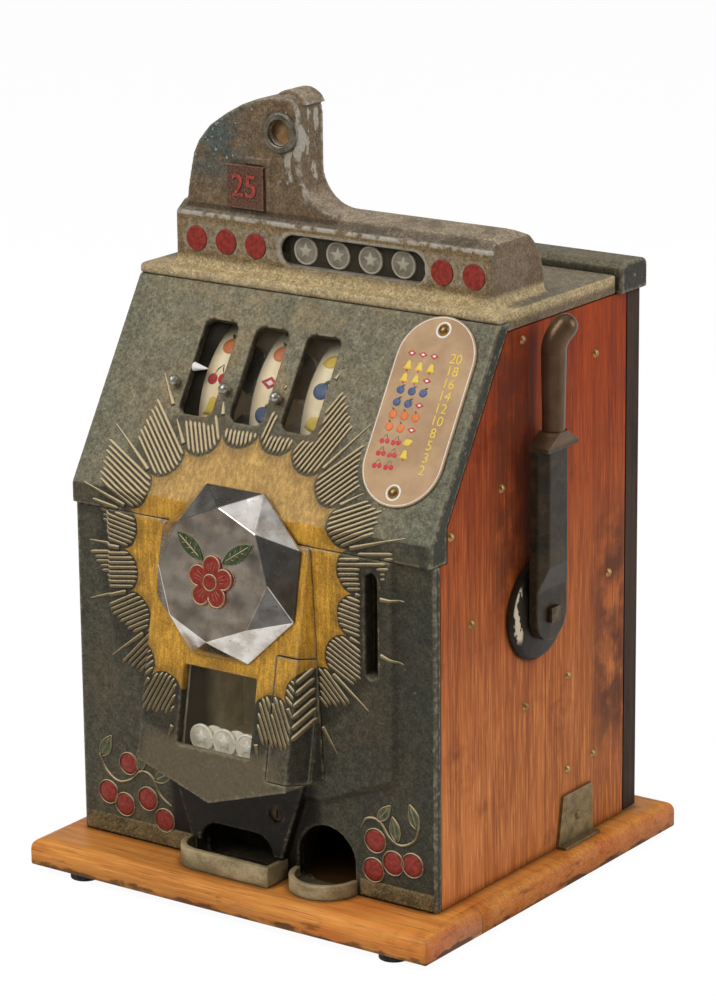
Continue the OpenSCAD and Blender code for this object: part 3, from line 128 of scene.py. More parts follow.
def make_world():
    """Even light; white behind the object, while polished metal also meets the dark of the room before it."""
    world = bpy.data.worlds.new("studio")
    bpy.context.scene.world = world
    world.use_nodes = True
    tree = world.node_tree
    tree.nodes.clear()

    def light(strength, colour=(1, 1, 1)):
        shader = new_node(tree, "Background")
        shader.inputs["Color"].default_value = (*colour, 1)
        shader.inputs["Strength"].default_value = strength
        return shader.outputs[0]

    def towards(axis, start, end):
        side = new_node(tree, "MapRange", interpolation_type="SMOOTHSTEP")
        side.inputs["From Min"].default_value, side.inputs["From Max"].default_value = start, end
        tree.links.new(way.outputs[axis], side.inputs["Value"])
        return side.outputs[0]

    way = new_node(tree, "SeparateXYZ")
    tree.links.new(new_node(tree, "TexCoord").outputs["Generated"], way.inputs[0])
    room = mixed(tree, towards("Z", 0.14, -0.1), light(0.07), light(0.42, (1, 0.87, 0.74)))
    room = mixed(tree, towards("Z", 0.8, 0.9), room, light(0.72))
    before = joined(tree, "MAXIMUM", towards("Y", 0.35, -0.25), towards("Z", 0.25, 0.55))
    glossy = new_node(tree, "LightPath").outputs["Is Glossy Ray"]
    seen = mixed(tree, joined(tree, "MULTIPLY", before, glossy), light(1.0), room)
    total = mixed(tree, seen_rays(tree), light(0.3), seen)
    tree.links.new(total, new_node(tree, "OutputWorld").inputs[0])


def make_floor():
    """A pale floor that shows as white and keeps the object's shadow."""
    left, right, front, back = -8, 1.2, -0.9, 8
    mesh = bpy.data.meshes.new("floor")
    mesh.from_pydata([(left, front, 0), (right, front, 0), (right, back, 0), (left, back, 0)], [], [(0, 1, 2, 3)])
    floor = bpy.data.objects.new("floor", mesh)
    bpy.context.scene.collection.objects.link(floor)
    mat = bpy.data.materials.new("pale_floor")
    mat.use_nodes = True
    tree = mat.node_tree
    tree.nodes.clear()
    diffuse, glow = new_node(tree, "BsdfDiffuse"), new_node(tree, "Emission")
    diffuse.inputs["Color"].default_value = (0.86, 0.86, 0.86, 1)
    glow.inputs["Strength"].default_value = 1.06
    share = new_node(tree, "Math", operation="MULTIPLY")
    share.inputs[1].default_value = 0.9
    tree.links.new(seen_rays(tree), share.inputs[0])
    shown = mixed(tree, share.outputs[0], diffuse.outputs[0], glow.outputs[0])
    tree.links.new(shown, new_node(tree, "OutputMaterial").inputs[0])
    mesh.materials.append(mat)


make_camera()
make_world()
make_floor()
soft_lamp("right_softbox", (1.9, 0.75, 1.25), (1.2, 1.6), 24)
soft_lamp("front_softbox", (-0.8, -1.75, 2.15), (1.6, 1.6), 38)
soft_lamp("top_softbox", (0.75, -1.25, 2.3), (2.2, 2.2), 25, False)
bpy.context.scene.view_settings.view_transform = "Standard"


# Procedural materials

class Val:
    """A node's output that takes part in arithmetic."""

    def __init__(self, graph, socket):
        self.graph, self.socket = graph, socket

    def __add__(self, other):
        return self.graph.math("ADD", self, other)

    def __sub__(self, other):
        return self.graph.math("SUBTRACT", self, other)

    def __rsub__(self, other):
        return self.graph.math("SUBTRACT", other, self)

    def __mul__(self, other):
        return self.graph.math("MULTIPLY", self, other)

    def __abs__(self):
        return self.graph.math("ABSOLUTE", self)

    __radd__, __rmul__ = __add__, __mul__


class Graph:
    """A material built around one Principled shader. Lengths are in mm."""

    def __init__(self, name):
        self.mat = bpy.data.materials.new(name)
        self.mat.use_nodes = True
        self.tree = self.mat.node_tree
        self.bsdf = self.tree.nodes["Principled BSDF"]
        self.point = self.tree.nodes.new("ShaderNodeTexCoord").outputs["Object"]
        self._xyz = None

    def put(self, socket, value):
        if isinstance(value, Val):
            self.tree.links.new(value.socket, socket)
        elif value is not None:
            wide = hasattr(value, "__len__") and len(value) == 3 and socket.type == "RGBA"
            socket.default_value = (*value, 1) if wide else value

    def make(self, kind, settings=(), inputs=(), out=0):
        """A new node's output; inputs: socket and value."""
        node = new_node(self.tree, kind, **dict(settings))
        for key, value in dict(inputs).items():
            self.put(node.inputs[key], value)
        return Val(self, node.outputs[out])

    def math(self, op, *values):
        return self.make("Math", {"operation": op}, enumerate(values))

    def parts(self, vector):
        node = new_node(self.tree, "SeparateXYZ")
        self.tree.links.new(vector, node.inputs[0])
        return [Val(self, o) for o in node.outputs]

    def xyz(self):
        """The point's x, y and z in mm, as the CAD gives them."""
        if self._xyz is None:
            self._xyz = [v * 1000 for v in self.parts(self.point)]
        return self._xyz

    def facing(self, axis):
        """How far the surface faces along +x, +y or +z."""
        return self.parts(new_node(self.tree, "NewGeometry").outputs["Normal"])["xyz".index(axis)]

    def noise(self, size, detail=3, stretch=None, rough=0.55, twist=0.0, shift=0.0):
        """Noise from 0 to 1 with features of about this size, drawn out along an axis by stretch."""
        point = Val(self, self.point)
        if stretch:
            point = self.make("Mapping", (), {"Vector": point, "Scale": [1 / s for s in stretch]})
        inputs = {"Vector": point, "Scale": 1000 / size, "Detail": detail, "Roughness": rough, "Distortion": twist}
        if shift:
            inputs["W"] = shift
        return self.make("TexNoise", {"noise_dimensions": "4D" if shift else "3D"}, inputs, "Fac")

    def step(self, value, low, high):
        """0 below low, 1 above high, smooth between."""
        return self.make("MapRange", {"interpolation_type": "SMOOTHSTEP"},
                         {"Value": value, "From Min": low, "From Max": high})

    def below(self, value, low, high):
        return 1 - self.step(value, low, high)

    def band(self, value, low, high, soft=1.0):
        return self.step(value, low - soft, low + soft) * self.below(value, high - soft, high + soft)

    def mix(self, share, first, second):
        return self.make("Mix", {"data_type": "RGBA"}, {0: share, 6: first, 7: second}, 2)

    def ramp(self, value, low, high, first, second):
        """From the first colour below low to the second above high."""
        return self.mix(self.step(value, low, high), first, second)

    def stain(self, colour, tint, value, low, high, share):
        """The colour, with a share of a tint where the value is high."""
        return self.mix(self.step(value, low, high) * share, colour, tint)

    def shade(self, colour, value):
        """The colour times a value."""
        return self.make("Mix", {"data_type": "RGBA", "blend_type": "MULTIPLY"}, {0: 1, 6: colour, 7: value}, 2)

    def shade_and_grime(self, colour, reach, low, high, share):
        """The colour, darker in inner corners: painted shade, with some grime."""
        return self.shade(colour, 1 - self.step(self.crevice(reach), low, high) * share)

    def edge(self, reach):
        """0 on open faces, towards 0.5 at outer edges."""
        return 1 - self._occlusion(reach, True)

    def crevice(self, reach):
        """0 on open faces, towards 1 in inner corners."""
        return 1 - self._occlusion(reach, False)

    def _occlusion(self, reach, inside):
        return self.make("AmbientOcclusion", {"inside": inside, "only_local": inside, "samples": 6},
                         {"Distance": reach * MM}, "AO")

    def bump(self, height, depth, strength=1.0, under=None):
        return self.make("Bump", (), {"Strength": strength, "Distance": depth * MM, "Height": height,
                                      "Normal": under})

    def done(self, colour, rough, metal=0.0, normal=None, gloss=0.25, **more):
        fixed = {"Base_Color": colour, "Roughness": rough, "Metallic": metal, "Normal": normal,
                 "Specular_IOR_Level": gloss}
        for key, value in {**fixed, **more}.items():
            self.put(self.bsdf.inputs[key.replace("_", " ")], value)
        return self.mat


FANS, FAN_R, FAN_CUSP = 20, 104.0, 15.0    # sunburst: fans all round, inner radius, height of the cusps


def sun_point(g):
    """A point's place around the emblem, with the slope laid flat above the ledge."""
    x, y, z = g.xyz()
    along = (y - SLOPE[1]) * math.sin(math.radians(SLOPE[3])) + (z - SLOPE[2]) * math.cos(math.radians(SLOPE[3]))
    return x - EMBLEM_X, g.math("MINIMUM", z, SLOPE[2]) - EMBLEM_Z + g.math("MAXIMUM", along, 0.0)


def border_gap(g):
    """How far a point lies inside the scalloped border of the gold."""
    u, v = sun_point(g)
    turn = g.math("ARCTAN2", v, u) * (FANS / (2 * math.pi)) + FANS
    across = g.math("FRACT", turn) * 2 - 1
    border = FAN_R + FAN_CUSP * (1 - g.math("SQRT", g.math("MAXIMUM", 1 - across * across, 0.0)))
    return border - g.math("SQRT", u * u + v * v) + (g.noise(7, 2) - 0.5) * 3


def gold_field(g):
    """1 on the front's gold, inside its scalloped border."""
    front = g.step(g.math("MAXIMUM", g.facing("y") * -1, g.facing("x")), 0.35, 0.6)
    return g.step(border_gap(g), -0.8, 0.8) * front


def cast_paint():
    """Castings: dark olive paint, paler on what faces up from dust and painted top light, worn gold leaf round the
    emblem.
    """
    g = Graph("cast_paint")
    x, y, z = g.xyz()
    fine, grit, blotch = g.noise(1.6, 2), g.noise(2.8, 4, rough=0.7), g.noise(45, 4)
    upward = g.step(g.facing("z"), 0.2, 0.6)
    grain = fine * 0.5 + grit * 0.5
    tone = g.ramp(grain, 0.3, 0.7, (0.034, 0.031, 0.019), (0.084, 0.073, 0.045))
    tone = g.stain(tone, (0.092, 0.066, 0.032), blotch, 0.42, 0.72, 0.5)
    # What faces up is much paler: partly dust, partly painted top light.
    dust_and_toplight = g.ramp(grain, 0.3, 0.7, (0.112, 0.101, 0.064), (0.232, 0.202, 0.126))
    dust_and_toplight = g.stain(dust_and_toplight, (0.232, 0.178, 0.094), blotch, 0.46, 0.7, 0.4)
    tone = g.mix(upward * 0.92, tone, dust_and_toplight)
    warm = g.below(abs(x + 30), 60, 145) * g.step(g.noise(30, 4, shift=6.0), 0.42, 0.62)
    tone = g.mix(warm * upward * 0.6, tone, (0.232, 0.165, 0.082))
    sides = g.step(abs(x + 12), 130, 190) * g.below(y, 100, 120)
    tone = g.mix(sides * 0.5, tone, g.shade(tone, (0.58, 0.74, 0.8)))
    # Faces that turn to either side are darker: painted shade on the sides.
    tone = g.shade(tone, 1 - g.step(abs(g.facing("x")), 0.6, 0.9) * 0.5)
    tone = g.shade(tone, 1 - g.step(x, 70, 130) * g.below(z, 300, 340) * 0.28)
    tone = g.shade(tone, 0.8 + g.step(g.noise(9, 6, rough=0.72), 0.36, 0.66) * 0.46)
    tone = g.shade(tone, 0.72 + g.step(g.noise(2.2, 3, rough=0.7, shift=12.0), 0.36, 0.64) * 0.6)
    tone = g.stain(tone, g.shade(tone, (0.62, 0.8, 0.86)), g.noise(70, 3, shift=11.0), 0.47, 0.66, 0.5)
    u, v = sun_point(g)
    radius = g.math("SQRT", u * u + v * v)
    front = g.step(g.facing("y") * -1, 0.35, 0.6)
    # The ground between the sunburst ribs is darker: painted shade between the ribs.
    tone = g.shade(tone, 1 - g.band(radius, 100, 150, 6) * front * 0.45)
    gold = gold_field(g)
    flakes = g.noise(1.4, 3) * 0.6 + g.noise(22, 3) * 0.4
    leaf = g.ramp(flakes, 0.34, 0.68, (0.33, 0.158, 0.012), (0.64, 0.34, 0.046))
    leaf = g.stain(leaf, (0.15, 0.085, 0.022), g.noise(6, 4, shift=3.0), 0.58, 0.72, 0.5)
    leaf = g.mix(upward * 0.6, leaf, g.mix(grit, (0.29, 0.185, 0.066), (0.58, 0.41, 0.185)))
    leaf = g.shade(leaf, 0.82 + g.step(g.noise(3.0, 3, (1, 1, 9)), 0.4, 0.66) * 0.36)
    brown = g.band(u, -72, 66, 8) * g.below(v, -150, -135) * g.step(v, -192, -184)
    tone = g.mix(brown * front * 0.55, tone, g.mix(grit, (0.085, 0.062, 0.032), (0.18, 0.132, 0.072)))
    # Painted shadow, brown-black, under the overhang of the jackpot front round the payout block.
    shade_and_grime = g.band(u, -78, 78, 6) * g.below(v + abs(u) * -0.3, -198, -192) * g.step(y, -170, -166)
    tone = g.mix(shade_and_grime, tone, g.shade(tone, (0.15, 0.11, 0.09)))
    tone = g.shade(tone, 1 - g.step(y, 120, 126) * 0.3)
    leaf = g.shade(leaf, 0.66 + g.step(border_gap(g), 0, 13) * 0.34)
    colour = g.mix(gold, tone, leaf)
    # Darker in inner corners: painted shade.
    colour = g.shade_and_grime(colour, 9, 0.25, 0.85, 0.8)
    rim = g.step(abs(x), 179, 183.5)
    worn = g.step(g.edge(4.0) + (g.noise(5, 4) - 0.5) * 0.85 + rim * 0.1, 0.24, 0.36)
    chip = g.step(g.noise(7, 5, shift=7.0) + rim * 0.09, 0.705, 0.735)
    bare = g.math("MAXIMUM", worn, chip * 0.7)
    metal = g.mix(g.noise(3, 3), (0.15, 0.12, 0.075), (0.36, 0.305, 0.21))
    colour = g.mix(bare * 0.7, colour, metal)
    return g.done(colour, 0.58 - bare * 0.12 - gold * 0.06, bare * 0.2, g.bump(grit + fine * 0.5, 0.9, 0.6))


def cup_paint():
    """Coin cups: olive paint worn by hands down to pale brass, their floors painted nearly black as shade."""
    g = Graph("cup_paint")
    z = g.xyz()[2]
    fine, blotch = g.noise(1.8, 3), g.noise(15, 5, (2, 2, 1))
    colour = g.ramp(fine * 0.25 + blotch * 0.75, 0.34, 0.66, (0.175, 0.132, 0.066), (0.42, 0.325, 0.175))
    # Up-facing floors inside the cups go nearly black: painted shade.
    inside = g.step(g.facing("z"), 0.5, 0.8) * g.below(z, 38, 41)
    colour = g.mix(inside * 0.8, colour, (0.02, 0.017, 0.011))
    worn = g.step(g.edge(2.2) + (g.noise(4, 4) - 0.5) * 0.5, 0.24, 0.4)
    colour = g.mix(worn * 0.6, colour, (0.42, 0.36, 0.24))
    # Darker in inner corners: painted shade.
    colour = g.shade_and_grime(colour, 12, 0.25, 0.9, 0.8)
    return g.done(colour, 0.52, worn * 0.3, g.bump(fine, 0.3, 0.5))


def top_paint():
    """Coin head and escalator box: dark brown head, stippled gold front, pale worn edges."""
    g = Graph("bronze_paint")
    x, y, z = g.xyz()
    stipple, fine, blotch = g.noise(2.6, 4, rough=0.65), g.noise(1.4, 2), g.noise(26, 4)
    grain = fine * 0.5 + stipple * 0.5
    olive = g.ramp(grain, 0.3, 0.7, (0.084, 0.056, 0.03), (0.172, 0.118, 0.066))
    olive = g.stain(olive, (0.105, 0.062, 0.028), blotch, 0.45, 0.7, 0.5)
    blue = g.step(g.noise(22, 5, shift=2.0), 0.32, 0.5) * g.step(z, 578, 618) * g.below(x, -108, -64)
    olive = g.mix(blue * 0.8, olive, g.mix(fine, (0.03, 0.052, 0.052), (0.062, 0.088, 0.084)))
    top = g.ramp(grain, 0.32, 0.7, (0.172, 0.135, 0.092), (0.365, 0.292, 0.205))
    top = g.stain(top, (0.095, 0.07, 0.046), blotch, 0.46, 0.68, 0.55)
    olive = g.stain(olive, top, g.facing("z"), 0.35, 0.8, 0.85)
    tan = g.ramp(grain, 0.3, 0.7, (0.1, 0.064, 0.025), (0.225, 0.155, 0.07))
    tan = g.stain(tan, (0.135, 0.082, 0.034), blotch, 0.4, 0.7, 0.6)
    tan = g.stain(tan, (0.3, 0.215, 0.105), g.noise(5, 4, shift=4.0), 0.56, 0.66, 0.5)
    front = g.band(z, 516, 562, 1.0) * g.below(y, -38.5, -35.5) * g.below(x, 164, 167)
    foot = g.below(z, 522, 528)
    colour = g.mix(front, olive, tan)
    shelf = g.band(z, 563.5, 571, 1.0) * g.below(y, -31, -28)
    colour = g.shade(colour, 1 - shelf * 0.45)
    cove = g.ramp(grain, 0.28, 0.72, (0.27, 0.2, 0.098), (0.53, 0.405, 0.205))
    colour = g.mix(foot * g.step(z, 505, 512) * 0.75, colour, cove)
    seat = g.step(g.facing("z"), 0.7, 0.95) * foot * g.step(y, -30, -10)
    colour = g.mix(seat * 0.9, colour, g.ramp(grain, 0.32, 0.7, (0.105, 0.088, 0.06), (0.23, 0.195, 0.14)))
    colour = g.shade(colour, 0.8 + g.step(g.noise(8, 6, rough=0.72), 0.36, 0.66) * 0.44)
    colour = g.shade(colour, 0.72 + g.step(g.noise(2.0, 3, rough=0.7, shift=12.0), 0.36, 0.64) * 0.62)
    # Darker in inner corners: painted shade.
    colour = g.shade_and_grime(colour, 8, 0.25, 0.85, 0.75)
    line = g.band(z, 560.5, 564.0, 0.8) * g.below(y, -37.5, -35.5) * g.step(g.noise(9, 4), 0.4, 0.55)
    rubbed = g.band(x, -46, -18, 7) * g.step(z, 574, 592) * g.below(z, 655, 668)
    worn = g.step(g.edge(4.5) + (g.noise(4.5, 4) - 0.5) * 0.8 + rubbed * 0.1, 0.24, 0.35)
    flake = g.step(g.noise(9, 5, (1, 1, 2.4), shift=5.0) + rubbed * 0.1, 0.635, 0.67)
    chip = g.step(g.noise(4.0, 4, shift=6.0) + blue * 0.12, 0.7, 0.73)
    worn = worn * (1 - g.step(x, 165.5, 167.5) * 0.7)
    bare = g.math("MAXIMUM", worn, g.math("MAXIMUM", chip, g.math("MAXIMUM", flake * rubbed, line)))
    metal = g.mix(g.noise(2.0, 3), (0.2, 0.175, 0.135), (0.56, 0.52, 0.45))
    colour = g.mix(bare * 0.8, colour, metal)
    return g.done(colour, 0.6 - bare * 0.12, bare * 0.2, g.bump(stipple + fine * 0.4, 0.5, 0.5))


def rib_paint():
    """Raised ribs: painted shade in the grooves, pale backs from rubbed paint and a painted highlight, paler still
    where they face up from dust and painted top light.
    """
    g = Graph("rib_paint")
    grit = g.noise(1.3, 3)
    upward = g.step(g.facing("z"), 0.25, 0.6)
    colour = g.ramp(grit, 0.32, 0.68, (0.07, 0.053, 0.027), (0.17, 0.124, 0.06))
    colour = g.stain(colour, (0.19, 0.135, 0.06), g.noise(30, 3), 0.45, 0.65, 0.5)
    # Paler where they face up: dust and painted top light.
    colour = g.mix(upward * 0.85, colour, g.mix(grit, (0.42, 0.33, 0.195), (0.78, 0.62, 0.375)))
    # Pale backs: rubbed paint together with a painted highlight.
    back = g.step(g.edge(1.2) + (g.noise(3, 3) - 0.5) * 0.3, 0.32, 0.58)
    colour = g.mix(back * 0.7, colour, g.mix(upward, (0.3, 0.23, 0.12), (0.66, 0.525, 0.315)))
    # Dark grooves: painted shade.
    colour = g.shade_and_grime(colour, 2.4, 0.12, 0.55, 0.97)
    return g.done(colour, 0.6, 0.0, g.bump(grit, 0.25, 0.5))


def stipple_paint():
    """The rough strips at the foot of the front: painted shade between the bumps."""
    g = Graph("stipple_paint")
    grit, blotch = g.noise(1.3, 3), g.noise(14, 3)
    colour = g.ramp(grit * 0.6 + blotch * 0.4, 0.36, 0.64, (0.055, 0.04, 0.018), (0.225, 0.16, 0.068))
    # Darker between the bumps: painted shade.
    colour = g.shade_and_grime(colour, 2.5, 0.15, 0.8, 0.85)
    return g.done(colour, 0.6, 0.0, g.bump(grit, 0.3, 0.5))


def wood(name, tones, stain, grain="z", seam=None, wear=0.0, smudge=0.5, polish=0.4, closed=None, deep=None):
    """Varnished wood. tones: dark, middle and light of its grain; closed: the half width and front of the inside,
    painted nearly black as its shade; deep: the heights between which it grows deeper in colour."""
    g = Graph(name)
    x, y, z = g.xyz()
    long, longer, wide = ([f if a == grain else 1 for a in "xyz"] for f in (26, 70, 6))
    fibre = g.noise(1.8, 4, long, 0.66)
    streak = g.noise(6.0, 4, longer, 0.6, 0.3)
    figure = g.noise(34, 3, wide, 0.5, 0.4)
    colour = g.ramp(streak * 0.45 + figure * 0.55, 0.34, 0.66, tones[0], tones[1])
    colour = g.stain(g.shade(colour, (0.9, 0.9, 0.9)), tones[2], fibre, 0.44, 0.7, 0.6)
    pores = g.step(g.noise(1.4, 3, long), 0.56, 0.7)
    colour = g.mix(pores * 0.45, colour, stain)
    colour = g.stain(colour, stain, g.noise(2.4, 3, longer, shift=7.0), 0.55, 0.72, 0.22)
    dark = g.step(g.noise(62, 4, shift=1.0) * 0.7 + g.noise(9, 3) * 0.3, 0.53, 0.72)
    colour = g.mix(dark * smudge, colour, stain)
    if deep:
        colour = g.mix(g.step(z, *deep), g.shade(colour, (1.58, 1.98, 1.75)), g.shade(colour, (0.9, 0.46, 0.14)))
        shadow = g.band(y, 95, 150, 18) * g.band(z, 100, 310, 45) * g.step(g.noise(26, 4, shift=3.0), 0.3, 0.58)
        colour = g.mix(shadow * 0.85, colour, stain)
        # Dark smear round the handle: its painted shadow on the panel, with grime from hands.
        handle_shadow_and_grime = g.band(y, -60, -14, 14) * g.band(z, 260, 500, 40) * g.step(x, 0, 1)
        colour = g.mix(handle_shadow_and_grime * g.step(g.noise(20, 4, shift=5.0), 0.24, 0.58) * 0.72, colour, stain)
    dots = g.step(g.noise(4.2, 2, shift=9.0), 0.745, 0.775)
    colour = g.mix(dots * 0.7, colour, stain)
    if seam:
        at, top = seam
        line = g.band(y, at - 0.35, at + 0.35, 0.3) * g.below(z, top, top + 6)
        colour = g.mix(line * 0.9, colour, (0.03, 0.012, 0.006))
    # Darker in inner corners and round the screws: painted shade.
    colour = g.shade_and_grime(colour, 9, 0.06, 0.42, 0.55)
    rough = polish + fibre * 0.18 + dark * 0.1
    if wear:
        low = g.below(z, 11, 21)
        rubbed = g.step(low * 0.42 + (g.noise(11, 5, (2.5, 2.5, 1)) - 0.5) * 0.9 + g.edge(4) * 0.3, 0.36, 0.48)
        colour = g.mix(rubbed * wear, colour, g.mix(g.noise(3, 3), (0.035, 0.02, 0.011), (0.14, 0.075, 0.03)))
        rough = rough + rubbed * 0.2
        colour = g.shade(colour, 0.8 + g.step(z, 12, 26) * 0.2)
        ruddy = g.step(g.noise(36, 4, (4, 1, 1), shift=2.0), 0.44, 0.64)
        colour = g.mix(ruddy * 0.65, colour, g.shade(colour, (0.86, 0.56, 0.4)))
        marks = g.step(g.noise(6, 5, (5, 5, 1), shift=4.0), 0.58, 0.68) * g.below(z, 23, 29)
        colour = g.mix(marks * 0.65, colour, (0.13, 0.05, 0.016))
        # The face towards +x goes darker and redder: painted shade on that side.
        colour = g.ramp(g.facing("x"), 0.5, 0.9, colour, g.shade(colour, (0.8, 0.7, 0.92)))
    # The inside of the cabinet goes nearly black: painted shade.
    if closed:
        half, front = closed
        within = g.below(abs(x), half, half + 1) * g.band(y, front, 158)
        colour = g.mix(within * 0.93, colour, (0.01, 0.007, 0.005))
    return g.done(colour, rough, 0.0, g.bump(fibre * 0.7 - pores * 0.6, 0.2, 0.45), 0.1)


def metal(name, dark, light, rough=0.35, tarnish=(0.06, 0.05, 0.04), amount=0.35, shine=1.0):
    """Old metal between two tones, with tarnish in its corners and rubbed edges."""
    g = Graph(name)
    tone, fine = g.noise(9, 4), g.noise(1.2, 3)
    colour = g.ramp(tone * 0.6 + fine * 0.4, 0.34, 0.66, dark, light)
    stain = g.step(g.noise(14, 5, shift=4.0) + g.crevice(3) * 0.35, 0.52, 0.74)
    colour = g.mix(stain * amount, colour, tarnish)
    rubbed = g.step(g.edge(1.4) + (g.noise(3, 3) - 0.5) * 0.35, 0.24, 0.42)
    colour = g.mix(rubbed * 0.6, colour, [min(1, c * 1.35) for c in light])
    return g.done(colour, rough + stain * 0.22 + (fine - 0.5) * 0.12, shine, g.bump(fine, 0.08, 0.4))


def bin_paint():
    """Inside of the jackpot bin: pale steel, its side walls darkened near the front by painted shadow."""
    g = Graph("bin_steel")
    y = g.xyz()[1]
    cloud = g.noise(14, 4)
    colour = g.ramp(cloud, 0.36, 0.66, (0.58, 0.5, 0.34), (0.76, 0.68, 0.48))
    # Side walls near the front go nearly black: painted shadow.
    front_wall_shadow = g.step(abs(g.facing("x")), 0.5, 0.8) * g.below(y, -150, -124)
    colour = g.mix(front_wall_shadow * 0.94, colour, (0.055, 0.046, 0.03))
    return g.done(colour, 0.65, 0.0, g.bump(cloud, 0.1, 0.4))


def dark_iron():
    """Handle and its plate: dark bronze, rubbed bright where hands go, one cream patch left on the plate."""
    g = Graph("dark_iron")
    x, y, z = g.xyz()
    grit, blotch = g.noise(1.4, 3), g.noise(22, 4)
    colour = g.ramp(grit * 0.4 + blotch * 0.6, 0.34, 0.68, (0.011, 0.008, 0.0045), (0.037, 0.026, 0.014))
    colour = g.stain(colour, (0.06, 0.036, 0.016), g.noise(11, 4, shift=6.0), 0.46, 0.66, 0.6)
    outside = g.step(x, 180, 190)
    grip = g.step(z, 398, 404) * outside
    colour = g.mix(grip * 0.85, colour, g.mix(blotch, (0.052, 0.028, 0.015), (0.19, 0.116, 0.066)))
    patch = g.below(x, 193.1, 193.4) * g.step(x, 189, 190) * g.band(y, -41.5, -29, 1.5)
    patch = patch * g.step(g.noise(10, 4, (1, 1, 2.5)), 0.49, 0.53) * g.band(z, 236, 288, 4)
    colour = g.mix(patch, colour, g.mix(grit, (0.4, 0.33, 0.22), (0.58, 0.5, 0.36)))
    plate = outside * g.below(x, 193.2, 193.5) * (1 - patch)
    colour = g.shade(colour, 1 - plate * 0.6)
    rubbed = g.step(g.edge(3.0) + (g.noise(6, 4) - 0.5) * 0.5, 0.2, 0.36) * (1 - plate * 0.6)
    colour = g.mix(rubbed * 0.38 * (1 - patch), colour, (0.12, 0.095, 0.062))
    # Darker in inner corners: painted shade.
    colour = g.shade_and_grime(colour, 4, 0.3, 0.9, 0.6)
    rough = 0.44 - grip * 0.17 + grip * grit * 0.08 - rubbed * 0.06 + patch * 0.2
    return g.done(colour, rough, 0.1 * (1 - patch) + grip * 0.5, g.bump(grit, 0.2, 0.5), 0.2)


def chrome():
    """Old chrome: fine scratches, pits, and brown dirt round the inlays."""
    g = Graph("chrome")
    scratch = g.noise(1.4, 4, (1, 1, 5))
    cloud = g.noise(16, 4)
    pits = g.step(g.noise(1.8, 3, shift=8.0), 0.63, 0.7)
    colour = g.stain((0.7, 0.665, 0.62), (0.44, 0.385, 0.32), cloud, 0.38, 0.64, 0.8)
    dirt = g.step(g.crevice(14) + (g.noise(7, 4) - 0.5) * 0.5, 0.14, 0.6)
    colour = g.mix(dirt * 0.8, colour, (0.37, 0.245, 0.115))
    colour = g.mix(pits * 0.6, colour, (0.16, 0.14, 0.11))
    # Facets that face right, and those that face right and a little down, are darkened: a painted dark reflection.
    dark_reflection = g.band(g.facing("x"), 0.48, 0.7, 0.05) * g.band(g.facing("z"), -0.22, 0.02, 0.05)
    dark_reflection = dark_reflection + g.step(g.facing("x"), 0.72, 0.78)
    colour = g.shade(colour, 1 - dark_reflection * 0.78)
    return g.done(colour, 0.15 + cloud * 0.1 + pits * 0.25 + dirt * 0.2, 1 - dirt * 0.75,
                  g.bump(scratch, 0.03, 0.3, g.bump(g.noise(30, 1, shift=2.0), 1.8, 1.0)))


def enamel(name, main, deep, worn, amount=0.5):
    """Mottled enamel, gone from its edges and in spots."""
    g = Graph(name)
    mottle = g.noise(3.2, 4)
    colour = g.ramp(mottle, 0.34, 0.68, deep, main)
    gone = g.step(g.edge(1.3) + (g.noise(3.5, 5) - 0.5) * 0.6, 0.25, 0.4)
    colour = g.mix(gone * amount, colour, worn)
    spots = g.step(g.noise(2.2, 4, shift=3.0), 0.66, 0.72)
    colour = g.mix(spots * amount * 0.8, colour, worn)
    return g.done(colour, 0.42 + gone * 0.25, 0.0, g.bump(mottle, 0.15, 0.4))


def printed(name, colour):
    """Ink on paper or card, rubbed thin in spots."""
    g = Graph(name)
    thin = g.step(g.noise(1.1, 3) * 0.6 + g.noise(6, 3) * 0.4, 0.46, 0.72)
    pale = [min(1.0, 0.35 * c + 0.45) for c in colour]
    return g.done(g.mix(thin * 0.35, colour, pale), 0.6, 0.0, g.bump(g.noise(0.8, 2), 0.05, 0.3))


def paper():
    g = Graph("reel_paper")
    stain, fibre = g.noise(16, 4), g.noise(1.0, 3)
    colour = g.ramp(stain, 0.35, 0.7, (0.97, 0.82, 0.54), (0.89, 0.7, 0.42))
    colour = g.stain(colour, (0.42, 0.28, 0.14), g.noise(3, 4, shift=2.0), 0.62, 0.74, 0.4)
    return g.done(g.shade(colour, 0.92 + fibre * 0.16), 0.7, 0.0, g.bump(fibre, 0.05, 0.3))


def award_card():
    g = Graph("award_card")
    mottle, cloud = g.noise(1.4, 3), g.noise(24, 4)
    colour = g.ramp(cloud, 0.35, 0.68, (0.335, 0.2, 0.098), (0.43, 0.27, 0.14))
    colour = g.stain(colour, (0.5, 0.345, 0.19), mottle, 0.52, 0.72, 0.3)
    colour = g.stain(colour, (0.7, 0.6, 0.44), g.noise(2.2, 4, shift=5.0), 0.68, 0.74, 0.5)
    rim = g.step(g.edge(1.6), 0.2, 0.4)
    colour = g.mix(rim * 0.7, colour, (0.55, 0.49, 0.38))
    return g.done(colour, 0.42, 0.0, g.bump(mottle, 0.05, 0.3))


def tag_paint():
    g = Graph("tag_paint")
    grit = g.noise(1.5, 3)
    colour = g.ramp(grit, 0.36, 0.66, (0.06, 0.026, 0.017), (0.15, 0.07, 0.042))
    gone = g.step(g.edge(1.5) + (g.noise(4, 4) - 0.5) * 0.5, 0.25, 0.42)
    colour = g.mix(gone * 0.6, colour, (0.34, 0.27, 0.17))
    return g.done(colour, 0.55, 0.0, g.bump(grit, 0.3, 0.5))


